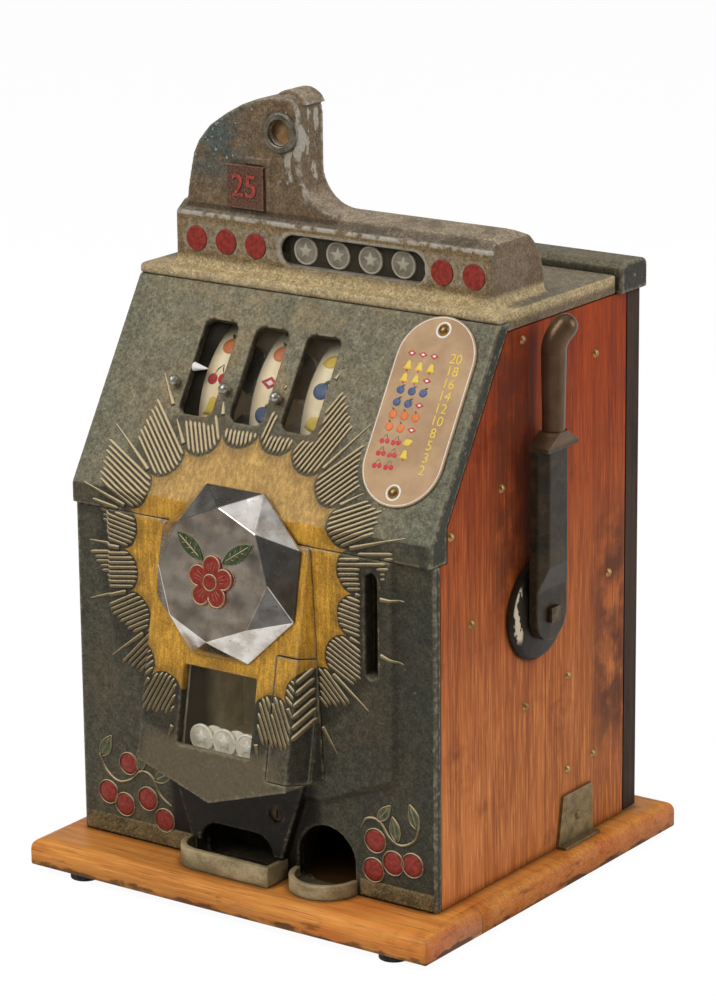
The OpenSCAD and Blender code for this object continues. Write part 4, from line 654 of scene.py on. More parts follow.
def stud_metal():
    """Bright studs, and the white painted pointer at the left window."""
    g = Graph("stud_metal")
    x = g.xyz()[0]
    grit = g.noise(2, 3)
    pointer = g.band(x, -102, -84, 0.3)
    bright = g.ramp(grit, 0.35, 0.65, (0.28, 0.26, 0.225), (0.6, 0.57, 0.5))
    colour = g.mix(pointer, bright, g.mix(grit, (0.62, 0.6, 0.55), (0.82, 0.8, 0.75)))
    return g.done(colour, 0.42 + pointer * 0.2, 1 - pointer, g.bump(grit, 0.05, 0.3))


def rubber():
    g = Graph("foot_rubber")
    grit = g.noise(1.5, 3)
    colour = g.ramp(grit, 0.4, 0.7, (0.022, 0.021, 0.02), (0.075, 0.068, 0.058))
    return g.done(colour, 0.8, 0.0, g.bump(grit, 0.3, 0.5))


def glass():
    """Old window glass: clear in the middle, with a brown film that thickens and darkens towards the frame, as dirt
    and as painted shade of the window walls.
    """
    g = Graph("clear_glass")
    film = g.step(g.noise(30, 4) * 0.7 + g.noise(2, 3) * 0.3, 0.45, 0.75)
    # Near the frame the film grows darker and denser: dirt together with painted shade of the window walls.
    dirt = g.step(g.crevice(9), 0.4, 0.95)
    return g.done(g.mix(dirt, (0.3, 0.27, 0.2), (0.03, 0.022, 0.014)), 0.06 + film * 0.1,
                  Alpha=0.02 + film * 0.04 + dirt * 0.14)


def amber():
    g = Graph("amber_lens")
    cloud = g.noise(9, 3)
    colour = g.ramp(cloud, 0.35, 0.7, (0.2, 0.105, 0.042), (0.38, 0.22, 0.105))
    return g.done(colour, 0.22, 0.0, g.bump(cloud, 0.2, 0.3), Coat_Weight=0.5)


MATERIALS = {
    "side_wood": wood("side_wood", ((0.185, 0.038, 0.01), (0.335, 0.085, 0.024), (0.46, 0.15, 0.05)),
                      (0.06, 0.016, 0.007), "z", (18, 215), smudge=0.5, closed=(182.5, -400), deep=(60, 470)),
    "base_wood": wood("base_wood", ((0.52, 0.19, 0.038), (0.72, 0.285, 0.06), (0.82, 0.37, 0.1)),
                      (0.075, 0.028, 0.01), "x", wear=0.85, smudge=0.3, polish=0.3, closed=(166, -146)),
    "door_wood": wood("door_wood", ((0.026, 0.014, 0.01), (0.05, 0.028, 0.019), (0.075, 0.044, 0.029)),
                      (0.014, 0.01, 0.008), "z", smudge=0.4, polish=0.5),
    "foot_rubber": rubber(),
    "cast_paint": cast_paint(),
    "bronze_paint": top_paint(),
    "chrome": chrome(),
    "red_enamel": enamel("red_enamel", (0.27, 0.034, 0.022), (0.17, 0.017, 0.011), (0.26, 0.17, 0.1)),
    "green_enamel": enamel("green_enamel", (0.06, 0.085, 0.036), (0.028, 0.042, 0.02), (0.26, 0.23, 0.14)),
    "nickel": metal("nickel", (0.3, 0.285, 0.25), (0.54, 0.52, 0.47), 0.36),
    "steel": metal("steel", (0.3, 0.3, 0.3), (0.52, 0.51, 0.5), 0.38),
    "dark_iron": dark_iron(),
    "brass": metal("brass", (0.19, 0.135, 0.062), (0.4, 0.305, 0.16), 0.42, (0.06, 0.045, 0.024), 0.5),
    "clear_glass": glass(),
    "amber_lens": amber(),
    "award_card": award_card(),
    "tag_paint": tag_paint(),
    "reel_paper": paper(),
}
MATERIALS["gold_paint"] = MATERIALS["cast_paint"]
RIB = rib_paint()
TAG_RED = enamel("tag_red", (0.4, 0.045, 0.035), (0.2, 0.02, 0.016), (0.34, 0.2, 0.13), 0.4)
INKS = {
    "red": printed("ink_red", (0.52, 0.035, 0.04)),
    "orange": printed("ink_orange", (0.66, 0.17, 0.045)),
    "yellow": printed("ink_yellow", (0.72, 0.5, 0.055)),
    "blue": printed("ink_blue", (0.06, 0.095, 0.19)),
    "green": printed("ink_green", (0.05, 0.09, 0.035)),
    "white": printed("ink_white", (0.78, 0.74, 0.66)),
}

OLD_STEEL = metal("old_steel", (0.1, 0.078, 0.044), (0.23, 0.18, 0.104), 0.6, shine=0.1)
SILVER = metal("pile_silver", (0.8, 0.7, 0.5), (0.97, 0.9, 0.7), 0.4, (0.24, 0.19, 0.12), 0.4, shine=0.1)
WORN_SILVER = metal("row_silver", (0.3, 0.265, 0.19), (0.56, 0.51, 0.4), 0.45, (0.1, 0.085, 0.06), 0.4, shine=0.35)
CUP = cup_paint()
OWN = {
    "jackpot_bin": bin_paint(),
    "jackpot_coins": SILVER,
    "escalator_coins": WORN_SILVER,
    "cash_box": OLD_STEEL,
    "mechanism_base": OLD_STEEL,
    "payline_studs": stud_metal(),
    "payout_cup": CUP,
    "return_cup": CUP,
    # The chute is near black: painted shade inside the arch.
    "payout_chute": metal("dark_chute", (0.02, 0.016, 0.01), (0.055, 0.043, 0.026), 0.6, shine=0.1),
    "coin_bezel": metal("dull_bezel", (0.115, 0.098, 0.072), (0.3, 0.27, 0.215), 0.5),
    "jackpot_lock": metal("dull_lock", (0.03, 0.023, 0.015), (0.095, 0.07, 0.042), 0.55),
    "corner_clips": metal("dull_clip", (0.12, 0.082, 0.034), (0.26, 0.18, 0.08), 0.48, amount=0.4, shine=0.6),
    "round_head_screws": metal("dull_screw", (0.15, 0.082, 0.028), (0.4, 0.245, 0.095), 0.42, amount=0.5),
    "handle_bolt": metal("dull_bolt", (0.055, 0.038, 0.022), (0.15, 0.108, 0.064), 0.5),
}


def look(node):
    return OWN.get(node) or MATERIALS[SLOT_OF[node]]


for name, obj in NODES.items():
    obj.material_slots[0].material = look(name)


# Pieces

def add_piece(name, mesh, body, slot, mats):
    for mat in mats:
        mesh.materials.append(mat)
    obj = bpy.data.objects.new(name, mesh)
    bpy.context.scene.collection.objects.link(obj)
    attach(obj, body)
    return obj


def stand_in(kind, node, mesh):
    """Puts a mesh in the place of a CAD node."""
    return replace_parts(add_piece(f"{kind}_{node}", mesh, BODY_OF[node], SLOT_OF[node], [look(node)]), node)


def mesh_of(bm, name):
    bmesh.ops.recalc_face_normals(bm, faces=bm.faces)
    mesh = bpy.data.meshes.new(name)
    bm.to_mesh(mesh)
    bm.free()
    return mesh


def bridge(bm, rows):
    """Joins closed rows of points, each to the next."""
    n = len(rows[0])
    return [bm.faces.new((low[i], high[i], high[(i + 1) % n], low[(i + 1) % n]))
            for low, high in zip(rows, rows[1:]) for i in range(n)]


def work_object(data):
    obj = bpy.data.objects.new("work", data)
    bpy.context.scene.collection.objects.link(obj)
    return obj


def bare_copy(node):
    mesh = NODES[node].data.copy()
    mesh.materials.clear()
    return mesh


def final_mesh(obj):
    """The mesh with its modifiers applied; the object goes."""
    bpy.context.view_layer.update()
    shown = bpy.context.evaluated_depsgraph_get()
    mesh = bpy.data.meshes.new_from_object(obj.evaluated_get(shown), preserve_all_data_layers=True, depsgraph=shown)
    bpy.data.objects.remove(obj)
    return mesh


def rounded(node, width, segments=2, angle=32, facets=False):
    """Stands a copy of a CAD node in its place, with its sharp edges rounded. facets: its faces stay flat."""
    mesh = bare_copy(node)
    bm = bmesh.new()
    bm.from_mesh(mesh)
    bmesh.ops.remove_doubles(bm, verts=bm.verts, dist=2e-6)
    bmesh.ops.dissolve_limit(bm, angle_limit=math.radians(0.8), verts=bm.verts, edges=bm.edges)
    bm.to_mesh(mesh)
    bm.free()
    for face in mesh.polygons:
        face.use_smooth = not facets
    work = work_object(mesh)
    bevel = work.modifiers.new("bevel", "BEVEL")
    bevel.width, bevel.segments, bevel.limit_method = width * MM, segments, "ANGLE"
    bevel.angle_limit, bevel.miter_outer = math.radians(angle), "MITER_ARC"
    if not facets:
        work.modifiers.new("normals", "WEIGHTED_NORMAL").keep_sharp = True
    return stand_in("rounded", node, final_mesh(work))


def face_frame(x, y, z, lean):
    """Maps a place on a leaning front face (right, up, out), in mm, to the shared frame in metres."""
    a = math.radians(lean)
    up, out = Vector((0, math.sin(a), math.cos(a))), Vector((0, -math.cos(a), math.sin(a)))
    foot = Vector((x, y, z))
    return lambda u, v, h: (foot + Vector((u, 0, 0)) + up * v + out * h) * MM


class Relief:
    """Raised forms that follow a surface, collected into one piece."""

    def __init__(self):
        self.bm = bmesh.new()

    def patch(self, place, outline, height, crown=0.5, rings=3, sink=0.5, mat=0):
        """A low cushion over a star-shaped outline."""
        middle = sum((Vector(p) for p in outline), Vector((0, 0))) / len(outline)
        rows = []
        for k in range(1, rings + 1):
            share = k / rings
            h = height * (1 - crown * share ** 2)
            rows.append([self.bm.verts.new(place(*(middle + (Vector(p) - middle) * share), h)) for p in outline])
        rows.append([self.bm.verts.new(place(*p, -sink)) for p in outline])
        top, foot = self.bm.verts.new(place(*middle, height)), self.bm.verts.new(place(*middle, -sink))
        n = len(outline)
        fans = [self.bm.faces.new(f) for i in range(n) for f in (
            (top, rows[0][i], rows[0][(i + 1) % n]), (foot, rows[-1][(i + 1) % n], rows[-1][i]))]
        self.finish(fans + bridge(self.bm, rows), mat)

    def finish(self, faces, mat=0):
        for face in faces:
            face.material_index, face.smooth = mat, True

    def bar(self, rows, mat=0):
        """A closed bar from the points of its sections."""
        ends = [self.bm.faces.new(rows[0]), self.bm.faces.new(rows[-1][::-1])]
        self.finish(ends + bridge(self.bm, rows), mat)

    def stroke(self, place, path, width, height, taper=2.0, sink=0.5, mat=0, least=0.35):
        """A rounded bar along a path, thinner towards its ends."""
        path = [Vector(p) for p in path]
        lengths = [0.0]
        for a, b in zip(path, path[1:]):
            lengths.append(lengths[-1] + (b - a).length)
        rows = []
        for i, p in enumerate(path):
            ahead, behind = path[min(i + 1, len(path) - 1)], path[max(i - 1, 0)]
            along = (ahead - behind).normalized()
            across = Vector((-along.y, along.x))
            near = min(lengths[i], lengths[-1] - lengths[i])
            full = least + (1 - least) * min(1, near / taper) ** 0.5
            half, high = width / 2 * full, height * full
            section = [(-half, -sink), (-half, 0), (-0.62 * half, high * 0.78), (0, high),
                       (0.62 * half, high * 0.78), (half, 0), (half, -sink)]
            rows.append([self.bm.verts.new(place(*(p + across * c), h)) for c, h in section])
        self.bar(rows, mat)

    def number(self, place, text, size, height, mat=0):
        """Plain figures, raised from the surface, centred on the place's origin."""
        curve = bpy.data.curves.new("figures", "FONT")
        curve.body, curve.size, curve.align_x, curve.align_y = text, size, "CENTER", "CENTER"
        sink = 0.3
        curve.extrude, curve.resolution_u = (height + sink) / 2, 3
        mesh = final_mesh(work_object(curve))
        start, first = len(self.bm.verts), len(self.bm.faces)
        self.bm.from_mesh(mesh)
        self.bm.verts.ensure_lookup_table()
        self.bm.faces.ensure_lookup_table()
        for vert in self.bm.verts[start:]:
            vert.co = place(vert.co.x, vert.co.y, vert.co.z + (height - sink) / 2)
        for face in self.bm.faces[first:]:
            face.material_index = mat
        bpy.data.meshes.remove(mesh)

    def done(self, name, body, slot, mats):
        bmesh.ops.remove_doubles(self.bm, verts=self.bm.verts, dist=1e-6)
        return add_piece(name, mesh_of(self.bm, name), body, slot, mats)


def turned(points, x, y, turn=0.0):
    c, s = math.cos(turn), math.sin(turn)
    return [(x + px * c - py * s, y + px * s + py * c) for px, py in points]


def ring(r, n=24, squeeze=1.0, x=0.0, y=0.0):
    around = [2 * math.pi * i / n for i in range(n)]
    return turned([(r * math.cos(a), r * squeeze * math.sin(a)) for a in around], x, y)


def looped(points):
    return points + points[:1]


def leaf(length, width, x=0.0, y=0.0, turn=0.0, n=9):
    """A pointed leaf from its stalk at x, y."""
    edge = [(length * i / n, width / 2 * math.sin(math.pi * (i / n) ** 0.85)) for i in range(n + 1)]
    return turned(edge + [(px, -py) for px, py in edge[-2:0:-1]], x, y, turn)


def bell(size):
    half = [(0, 1), (0.24, 0.93), (0.42, 0.72), (0.52, 0.4), (0.6, 0.0), (0.74, -0.36), (0.98, -0.62), (0.98, -0.8)]
    points = half + [(-px, py) for px, py in half[:0:-1]]
    return [(size * px, size * py) for px, py in points]


def shifted(place, x, y):
    return lambda u, v, h: place(u + x, v + y, h)


def softened(node, cell, passes, keep=0.3):
    """Stands a copy of a CAD casting in its place, its edges run soft as they leave a sand mould."""
    work = work_object(bare_copy(node))
    cells = work.modifiers.new("cells", "REMESH")
    cells.mode, cells.voxel_size, cells.use_smooth_shade = "VOXEL", cell * MM, True
    soft = work.modifiers.new("soft", "SMOOTH")
    soft.factor, soft.iterations = 0.5, passes
    work.modifiers.new("thin", "DECIMATE").ratio = keep
    work.modifiers.new("normals", "WEIGHTED_NORMAL")
    return stand_in("soft", node, final_mesh(work))


def slab(node, half_x, half_y, low, high, cut):
    """Stands a board with a round upper edge in the place of a CAD node, sawn off square at y = cut."""
    over, under, corner = 10.0, 2.5, 2.5
    quarter = [math.radians(90 * i / 6) for i in range(7)]
    profile = [(under * (1 - math.sin(a)), low + under * (1 - math.cos(a))) for a in quarter]
    profile += [(over * (1 - math.cos(a)), high - over * (1 - math.sin(a))) for a in quarter]
    bm = bmesh.new()
    rows = []
    for inset, z in profile:
        r = max(corner - inset, 0.4)
        rows.append([bm.verts.new(Vector((sx * (half_x - inset - r) + r * math.cos(t + turn),
                                          sy * (half_y - inset - r) + r * math.sin(t + turn), z)) * MM)
                     for sx, sy, turn in ((1, 1, 0), (-1, 1, math.pi / 2), (-1, -1, math.pi),
                                          (1, -1, 1.5 * math.pi))
                     for t in quarter])
    bm.faces.new(rows[0])
    bm.faces.new(rows[-1][::-1])
    for face in bridge(bm, rows):
        face.smooth = True
    at, keep = cut
    bmesh.ops.bisect_plane(bm, geom=bm.verts[:] + bm.edges[:] + bm.faces[:], plane_co=(0, at * MM, 0),
                           plane_no=(0, keep, 0), clear_inner=True)
    bmesh.ops.holes_fill(bm, edges=[e for e in bm.edges if e.is_boundary])
    return stand_in("board", node, mesh_of(bm, node))


def tree_of(*names):
    points, faces = [], []
    for name in names:
        mesh = NODES[name].data
        faces += [[len(points) + i for i in p.vertices] for p in mesh.polygons]
        points += [v.co.copy() for v in mesh.vertices]
    return BVHTree.FromPolygons(points, faces)


slope_place = face_frame(*SLOPE)
slope_out = (slope_place(0, 0, 1) - slope_place(0, 0, 0)).normalized()
FRONT = tree_of("lower_front_casting", "jackpot_front", "access_cover", "reel_window_casting")
SLOPED = tree_of("reel_window_casting")


def onto_front(x, z, surface=FRONT):
    """The front surface at x, z: its point and the way it faces."""
    point, normal, _, _ = surface.ray_cast(Vector((x, AHEAD, z)) * MM, INWARD)
    return (point, normal) if point else None


def front_y(node, x, z):
    """Where a CAD node's front lies at x, z, in mm."""
    return onto_front(x, z, tree_of(node))[0].y / MM


def onto_slope(x, s):
    point, normal, _, _ = SLOPED.ray_cast(slope_place(x, s, 60), -slope_out)
    return (point, normal) if point else None


def front_place(x, z):
    """Maps right, up and out to the front surface around x, z."""
    def place(u, v, h):
        point, _ = onto_front(x + u, z + v)
        return point + Vector((0, -h * MM, 0))
    return place


# Castings, boards and handle, with the edges that casting, planing and use leave

for node, cell, passes in (("top_casting", 1.3, 6), ("lower_front_casting", 1.4, 4),
                           ("reel_window_casting", 1.3, 4), ("jackpot_front", 1.2, 4),
                           ("access_cover", 0.9, 3), ("payout_cup", 0.9, 4),
                           ("return_cup", 0.8, 4), ("handle_arm", 0.8, 6), ("handle_escutcheon", 0.8, 4)):
    softened(node, cell, passes)
for node, width in (("rear_cap", 2.0), ("left_side_panel", 1.2), ("right_side_panel", 1.2), ("back_door", 1.5),
                    ("award_plate", 0.6), ("denomination_plate", 0.5), ("coin_bezel", 0.8),
                    ("escalator_studs", 0.8), ("escalator_coins", 0.3), ("jackpot_coins", 0.3),
                    ("corner_clips", 0.6), ("handle_bolt", 0.6), ("base_feet", 0.8), ("emblem_leaves", 0.5),
                    ("emblem_rosette", 0.5)):
    rounded(node, width)
rounded("emblem", 0.4, 1, 20, True)
BASE = (207, 195, 8, 32)              # half width, half depth, foot and top
slab("base_board", *BASE, (-112.7, 1))
slab("base_front_batten", *BASE, (-113.3, -1))


# Sunburst of ribs round the emblem

def rib_row(relief, run, width, height, sharp=False):
    """A rounded bar over a run of (point, normal) on a surface."""
    count = len(run) - 1
    rows = []
    for i, (point, normal) in enumerate(run):
        along = (run[min(i + 1, count)][0] - run[max(i - 1, 0)][0]).normalized()
        across = along.cross(normal).normalized()
        end = min(1.0, min(i, count - i) / 2.0)
        full = (1 - i / count) ** 0.7 * 0.85 + 0.15 if sharp else 0.45 + 0.55 * end
        half, high = width / 2 * full * MM, height * full * MM
        sink = -0.8 * MM
        section = ((-half, sink), (-half, high * 0.2), (-0.5 * half, high * 0.9), (0.5 * half, high * 0.9),
                   (half, high * 0.2), (half, sink))
        rows.append([relief.bm.verts.new(point + across * c + normal * h) for c, h in section])
    relief.bar(rows)


def in_stadium(x, y, half_x, half_y):
    over = max(0.0, abs(y) - (half_y - half_x))
    return math.hypot(x, over) < half_x


def free_of_fittings(u, v):
    """Whether the sunburst may run here: clear of windows, plates, slots and seams."""
    x, z = u + EMBLEM_X, v + EMBLEM_Z
    if not -172 < x < 158:
        return False
    if z >= SLOPE[2]:
        s = z - SLOPE[2]
        window = any(abs(x - w) < 22.5 and abs(s - WINDOW_S) < 47.5 for w in WINDOW_X)
        stud = any(math.hypot(x - w + 25, s - 99.5) < 9 for w in WINDOW_X)
        plate = in_stadium(x - CARD_X, s - CARD_S, CARD_SIZE[0] / 2 + 4, CARD_SIZE[1] / 2 + 4)
        return not (window or stud or plate)
    coin_slot = abs(x - 125) < 9.5 and 221 < z < 319
    seam = 325 < z < 328.5
    jackpot_window = abs(u) < 43 and 122 < z < 220
    payout_block = abs(u) < 60 and z < 150
    return z > 122 and not (coin_slot or seam or jackpot_window or payout_block)


def sun_runs(path):
    """The parts of a path (u, v) that lie on one unbroken surface."""
    runs, last = [[]], None
    for u, v in path:
        hit = None
        if free_of_fittings(u, v):
            z = v + EMBLEM_Z
            hit = onto_front(u + EMBLEM_X, z) if z < SLOPE[2] else onto_slope(u + EMBLEM_X, z - SLOPE[2])
        if hit and hit[1].y > -0.45:
            hit = None
        if not hit or (last and (hit[0] - last[0]).length > 3.2 * MM):
            runs.append([])
        if hit:
            runs[-1].append(hit)
        last = hit
    return [run for run in runs if len(run) > 3]


RIBS, RIB_PITCH, RIB_OUT = 8, 4.1, (150, 141)
RAY_OUT, STEP = (172, 164), 1.5
sunburst = Relief()
for k in range(FANS):
    a = (k + 0.5) * 2 * math.pi / FANS
    axis, side = Vector((math.cos(a), math.sin(a))), Vector((-math.sin(a), math.cos(a)))
    for j in range(RIBS):
        off = (j - (RIBS - 1) / 2) * RIB_PITCH
        near = FAN_R + FAN_CUSP * (1 - math.sqrt(max(0.0, 1 - (off / 17) ** 2))) + 1
        far = RIB_OUT[k % 2] + 34 * max(0.0, axis.y) + 0.6 * off * (1 if axis.x > 0 else -1) - 2 * (j % 2)
        steps = round((far - near) / STEP)
        for run in sun_runs([axis * (near + (far - near) * i / steps) + side * off for i in range(steps + 1)]):
            rib_row(sunburst, run, 3.2, 1.3)
    ray = Vector((math.cos(a + math.pi / FANS), math.sin(a + math.pi / FANS)))
    near = FAN_R + FAN_CUSP
    far = RAY_OUT[k % 2] + 26 * max(0.0, ray.y)
    for run in sun_runs([ray * (near + 3 + STEP * i) for i in range(int((far - near) / STEP))]):
        rib_row(sunburst, run, 4.2, 1.7, True)
for i in range(6):                    # slanting ribs on the right flank of the jackpot block
    run = []
    for k in range(22):
        y = -156.5 - 1.4 * k
        z = 226 - 8.5 * i - 0.7 * k
        point, normal, _, _ = FRONT.ray_cast(Vector((140, y, z)) * MM, Vector((-1, 0, 0)))
        if point and 60 * MM < point.x < 90 * MM and normal.x > 0.8:
            run.append((point, normal))
    if len(run) > 6:
        rib_row(sunburst, run, 5.0, 1.5)
sunburst.done("sunburst_ribs", "cabinet", "cast_paint", [RIB])


# Raised outlines on the emblem's rosette and leaves

lean = math.radians(JACKPOT[3])
face_up, face_out = Vector((0, math.sin(lean), math.cos(lean))), Vector((0, -math.cos(lean), math.sin(lean)))
inlay = [v.co / MM for v in NODES["emblem_rosette"].data.vertices]
PETAL_R, PETAL_AT = 9.35, 13.75
inlay_foot = min(p @ face_up for p in inlay) + PETAL_R + PETAL_AT * math.sin(math.radians(54))
inlay_top = max(p @ face_out for p in inlay) - 0.5


def inlay_place(u, v, h):
    return (Vector((EMBLEM_X + u, 0, 0)) + face_up * (inlay_foot + v) + face_out * (inlay_top + h)) * MM


outlines = Relief()
for i in range(5):
    t = math.radians(90 + 72 * i)
    arc = [math.radians(a) for a in range(-120, 121, 12)]
    x, y = PETAL_AT * math.cos(t), PETAL_AT * math.sin(t)
    rim = [(x + 8.3 * math.cos(t + a), y + 8.3 * math.sin(t + a)) for a in arc]
    outlines.stroke(inlay_place, rim, 1.3, 0.45, 2)
    for side in (-0.22, 0, 0.22):
        outlines.stroke(inlay_place, [(r * math.cos(t + side), r * math.sin(t + side)) for r in (8.5, 11, 14, 17)],
                        0.9, 0.4, 3, mat=1)
outlines.stroke(inlay_place, looped(ring(6.6, 28)), 1.4, 0.45, 0.1, least=1)
for side in (-1, 1):
    turn = math.radians(35 * side)
    axis = Vector((math.cos(turn), math.sin(turn)))
    middle, across = Vector((24 * side, 27)), Vector((-axis.y, axis.x))
    outlines.stroke(inlay_place, [middle + axis * s for s in range(-14, 15, 4)], 1.1, 0.45, 5)
    for s in (-8, -2, 4):
        for way in (-1, 1):
            foot = middle + axis * s * side
            outlines.stroke(inlay_place, [foot, foot + (axis * side + across * way) * 1.9,
                                          foot + (axis * side + across * way) * 3.4], 0.8, 0.4, 3)
outlines.done("inlay_outlines", "cabinet", "red_enamel", [RIB, TAG_RED])


# Vine scrolls with berries in the lower corners, and the stippled strip under them

def vine(name, x, z, flip, stem, berries, leaves):
    """stem: points of the winding stalk; berries: (u, v, r); leaves: (u, v, length, turn)."""
    place = front_place(x, z)
    scroll = Relief()
    side = -1 if flip else 1
    scroll.stroke(place, spline([(side * u, v) for u, v in stem]), 2.4, 1.6, 6)
    for u, v, r in berries:
        scroll.patch(place, ring(r, 28, x=side * u, y=v), 2.0, 0.75, 4, mat=1)
        scroll.stroke(place, looped(ring(r + 0.9, 28, x=side * u, y=v)), 1.3, 1.3, 0.1, least=1)
    for u, v, length, turn in leaves:
        a = math.radians(180 - turn if flip else turn)
        shape = leaf(length, length * 0.46, side * u, v, a)
        scroll.patch(place, shape, 0.9, 0.6, 3, mat=2)
        scroll.stroke(place, looped(shape), 1.2, 1.3, 0.1, least=1)
        scroll.stroke(place, [(side * u + math.cos(a) * length * t, v + math.sin(a) * length * t)
                              for t in (0, 0.2, 0.4, 0.6, 0.8, 0.97)], 1.0, 1.9, 6)
    scroll.done(name, "cabinet", "cast_paint", [RIB, MATERIALS["red_enamel"], MATERIALS["green_enamel"]])


def spline(points, steps=8):
    """A smooth curve through the points."""
    points = [Vector(p) for p in points]
    ends = [points[0] * 2 - points[1]] + points + [points[-1] * 2 - points[-2]]
    out = []
    for a, b, c, d in zip(ends, ends[1:], ends[2:], ends[3:]):
        for i in range(steps):
            t = i / steps
            out.append(0.5 * (2 * b + (c - a) * t + (2 * a - 5 * b + 4 * c - d) * t * t
                              + (3 * b - a - 3 * c + d) * t ** 3))
    return out + [points[-1]]


vine("left_vine", -126, 78, False,
     [(-40, 26), (-33, 12), (-20, 4), (-6, 8), (6, 18), (18, 14), (26, 0), (38, -8)],
     [(-31, -8, 9.6), (-13, -16, 9.6), (-8, 22, 9.0), (12, -6, 9.6), (30, -22, 9.6)],
     [(-38, 23, 24, 62), (4, 17, 24, 84), (20, 12, 24, 32)])
vine("right_vine", 138, 82, True,
     [(-30, 24), (-25, 10), (-12, 3), (0, 8), (10, 20), (22, 20), (29, 10)],
     [(-23, -12, 9.6), (-4, -14, 9.6), (14, 2, 9.6), (16, -24, 9.6)],
     [(-28, 20, 22, 70), (-8, 5, 22, 78), (11, 20, 20, 128)])


def stipple(name, x0, x1, z0, z1, cell=1.3):
    """A strip of rough cast bumps."""
    dice = random.Random(name)
    nx, nz = int((x1 - x0) / cell), int((z1 - z0) / cell)
    bm = bmesh.new()
    top, foot = {}, {}
    for i in range(nx + 1):
        for k in range(nz + 1):
            edge = i in (0, nx) or k in (0, nz)
            u, v = x0 + (x1 - x0) * i / nx, z0 + (z1 - z0) * k / nz
            point, _ = onto_front(u, v)
            lift = 0.1 if edge else 0.3 + 1.3 * dice.random() ** 1.5
            top[i, k] = bm.verts.new(point + Vector((0, -lift * MM, 0)))
            foot[i, k] = bm.verts.new(point + Vector((0, 0.6 * MM, 0)))
    loop = ([(i, 0) for i in range(nx)] + [(nx, k) for k in range(nz)] + [(i, nz) for i in range(nx, 0, -1)]
            + [(0, k) for k in range(nz, 0, -1)])
    for i in range(nx):
        for k in range(nz):
            for grid, order in ((top, 1), (foot, -1)):
                corners = ((i, k), (i + 1, k), (i + 1, k + 1), (i, k + 1))[::order]
                bm.faces.new([grid[p] for p in corners]).smooth = True
    for a, b in zip(loop, loop[1:] + loop[:1]):
        bm.faces.new((top[b], top[a], foot[a], foot[b]))
    add_piece(name, mesh_of(bm, name), "cabinet", "cast_paint", [STIPPLE])


STIPPLE = stipple_paint()
stipple("left_stipple", -182, -62, 33, 50)
stipple("right_stipple", 108, 182, 33, 48)


# Reels: paper strips with fruit

def reel_place(x):
    """Maps right, up along the rim and out to the reel at x."""
    up = (slope_place(0, 1, 0) - slope_place(0, 0, 0)).normalized()

    def place(u, v, h):
        a = v / REEL_R
        out = slope_out * math.cos(a) + up * math.sin(a)
        return Vector((x + u, REEL_Y, REEL_Z)) * MM + out * ((REEL_R + 0.35 + h) * MM)
    return place


INK_ORDER = ("red", "orange", "yellow", "blue", "green", "white")
PRINT = [MATERIALS["reel_paper"]] + [INKS[c] for c in INK_ORDER]
RED, ORANGE, YELLOW, BLUE, GREEN, WHITE = range(1, 7)      # places in PRINT, after the paper
FRUITS = {                            # outlines of size 1, and their inks
    "plum": ((ring(0.78, 22, 0.9), BLUE), (leaf(0.8, 0.35, 0, 0.62, 0.5), GREEN)),
    "orange": ((ring(0.78, 22), ORANGE), (leaf(0.7, 0.3, 0, 0.7, 2.4), GREEN)),
    "lemon": ((leaf(2.0, 1.25, -0.94, -0.34, 0.35), YELLOW),),
    "bell": ((bell(0.85), YELLOW), (ring(0.2, 12, y=-0.84), RED)),
    "cherry": ((ring(0.46, 18, x=-0.5, y=-0.42), RED), (ring(0.46, 18, x=0.48, y=-0.3), RED)),
    "bar": ((ring(0.86, 4, 0.62), RED),),
}


def fruit(relief, place, kind, size):
    """One printed picture, about 2 x size wide."""
    def grown(points):
        return [(size * x, size * y) for x, y in points]

    for outline, ink in FRUITS[kind]:
        relief.patch(place, grown(outline), 0.16, 0.2, 2, 0.25, ink)
    if kind == "cherry":
        for x, y in ((-0.45, 0.0), (0.45, 0.1)):
            stalk = grown([(x, y), (x * 0.5, 0.5), (0.15, 0.9)])
            relief.stroke(place, stalk, size * 0.14, 0.16, 0.1, 0.25, GREEN)
    if kind == "bar":
        relief.patch(place, grown(ring(0.4, 4, 0.62)), 0.22, 0.2, 2, 0.2, WHITE)


STRIPS = (("cherry", "orange", "plum", "bell", "plum", "orange", "cherry", "lemon", "plum", "bell"),
          ("bar", "orange", "cherry", "lemon", "bell", "plum", "cherry", "orange", "bell", "plum"),
          ("plum", "lemon", "bell", "orange", "plum", "lemon", "cherry", "bell", "orange", "lemon"))
STRIP_HALF, STRIP_T, STRIP_SIDES, STRIP_PICTURES = 13.2, 0.3, 120, 20
for x, body, strip in zip(WINDOW_X, REEL_BODIES, STRIPS):
    reel = Relief()
    place = reel_place(x)
    girth = 2 * math.pi * REEL_R
    section = ((-STRIP_HALF, -STRIP_T), (-STRIP_HALF, 0), (STRIP_HALF, 0), (STRIP_HALF, -STRIP_T))
    rows = [[reel.bm.verts.new(place(u, girth * i / STRIP_SIDES, h)) for u, h in section]
            for i in range(STRIP_SIDES)]
    for i, face in enumerate(bridge(reel.bm, looped(rows))):
        face.smooth = i % 4 == 1
    for i in range(STRIP_PICTURES):
        fruit(reel, shifted(place, 0, girth * i / STRIP_PICTURES), strip[i % len(strip)], 10.5)
    reel.done(body + "_strip", body, "reel_paper", PRINT)


# Award card: border, eyelets, pictures and plain figures

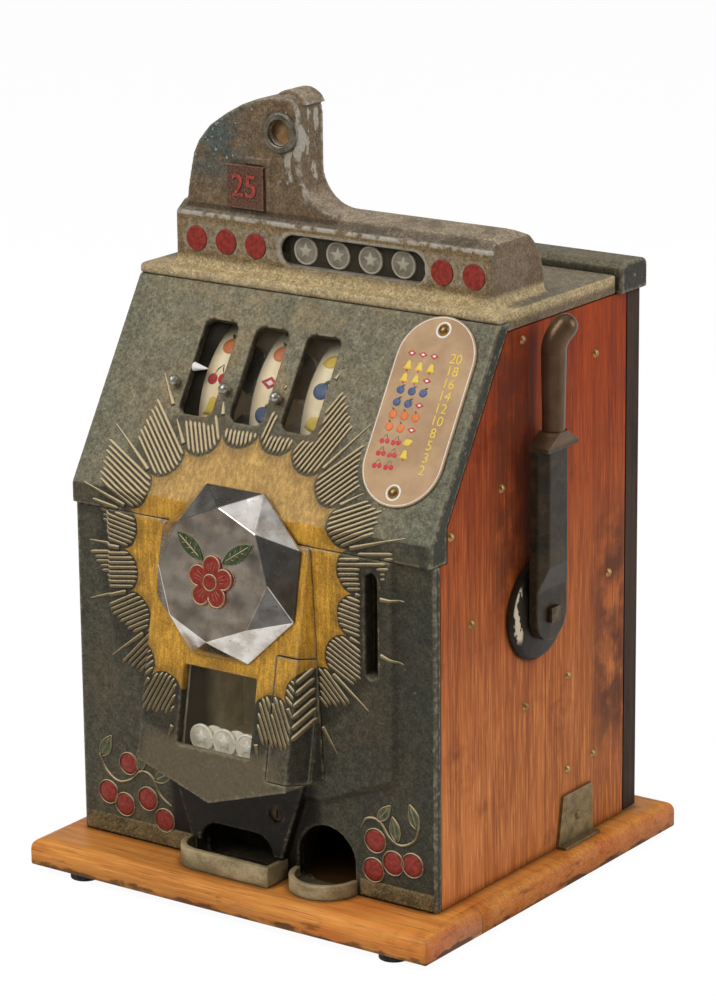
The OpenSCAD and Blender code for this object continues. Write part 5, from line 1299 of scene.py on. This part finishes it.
card_hit = tree_of("award_plate").ray_cast(slope_place(CARD_X - 30, CARD_S, 60), -slope_out)
card_h = 60 - card_hit[3] / MM
CARD_ROWS = (("bar bar bar", "20"), ("bell bell bell", "18"), ("bell bell bar", "16"), ("plum plum plum", "14"),
             ("plum plum bar", "12"), ("orange orange orange", "10"), ("orange orange bar", "8"),
             ("cherry cherry lemon", "5"), ("cherry cherry bell", "3"), ("cherry cherry", "2"))


def card(u, v, h):
    return slope_place(CARD_X + u, CARD_S + v, card_h + h)


def stadium(half_x, half_y, n=20):
    around = [math.pi * i / n for i in range(n + 1)]
    top = [(half_x * math.cos(a), half_y - half_x + half_x * math.sin(a)) for a in around]
    return top + [(-x, -y) for x, y in top]


print_card = Relief()
border = stadium(CARD_SIZE[0] / 2 - 1.4, CARD_SIZE[1] / 2 - 1.4)
print_card.stroke(card, looped(border), 0.7, 0.25, 0.1, 0.2, WHITE, 1)
for v in (-70, 70):
    print_card.stroke(card, looped(ring(6.3, 28, y=v)), 1.7, 0.6, 0.1, 0.2, WHITE, 1)
for i, (pictures, figure) in enumerate(CARD_ROWS):
    v = 47 - i * 10.6
    for k, kind in enumerate(pictures.split()):
        fruit(print_card, shifted(card, -23 + 11 * k, v), kind, 4.9)
    print_card.number(shifted(card, 20, v), figure, 12, 0.3, YELLOW)
print_card.done("award_print", "cabinet", "award_card", PRINT)


# Figures on the tag, rims and stars on the coins

TAG_X, TAG_Z = -80, 590
figures = Relief()
figures.number(face_frame(TAG_X, front_y("denomination_plate", TAG_X, TAG_Z), TAG_Z, 0), "25", 27, 1.2)
figures.done("tag_figures", "cabinet", "red_enamel", [TAG_RED])


def star(r, inner=0.42, points=5):
    spokes = [(r * (inner if i % 2 else 1), math.pi * i / points) for i in range(2 * points)]
    return [(s * math.sin(a), s * math.cos(a)) for s, a in spokes]


def struck(name, node, body, places, z, up, mat):
    """A rim and a star on each coin of a node that shows its face."""
    relief = Relief()
    for x in places:
        face = face_frame(x, front_y(node, x, z), z + up, 0)
        relief.stroke(face, looped(ring(11, 32)), 1.5, 0.5, 0.1, 0.2, 0, 1)
        relief.patch(face, star(7.5), 0.6, 0.8, 3, 0.2)
    relief.done(name, body, "nickel", [mat])


struck("coin_stars", "escalator_coins", "escalator", (-22, 11, 44, 77, 110), 541, 0, WORN_SILVER)
struck("pile_stars", "jackpot_coins", "cabinet", (-35, -11, 13), 150, 0.1, SILVER)
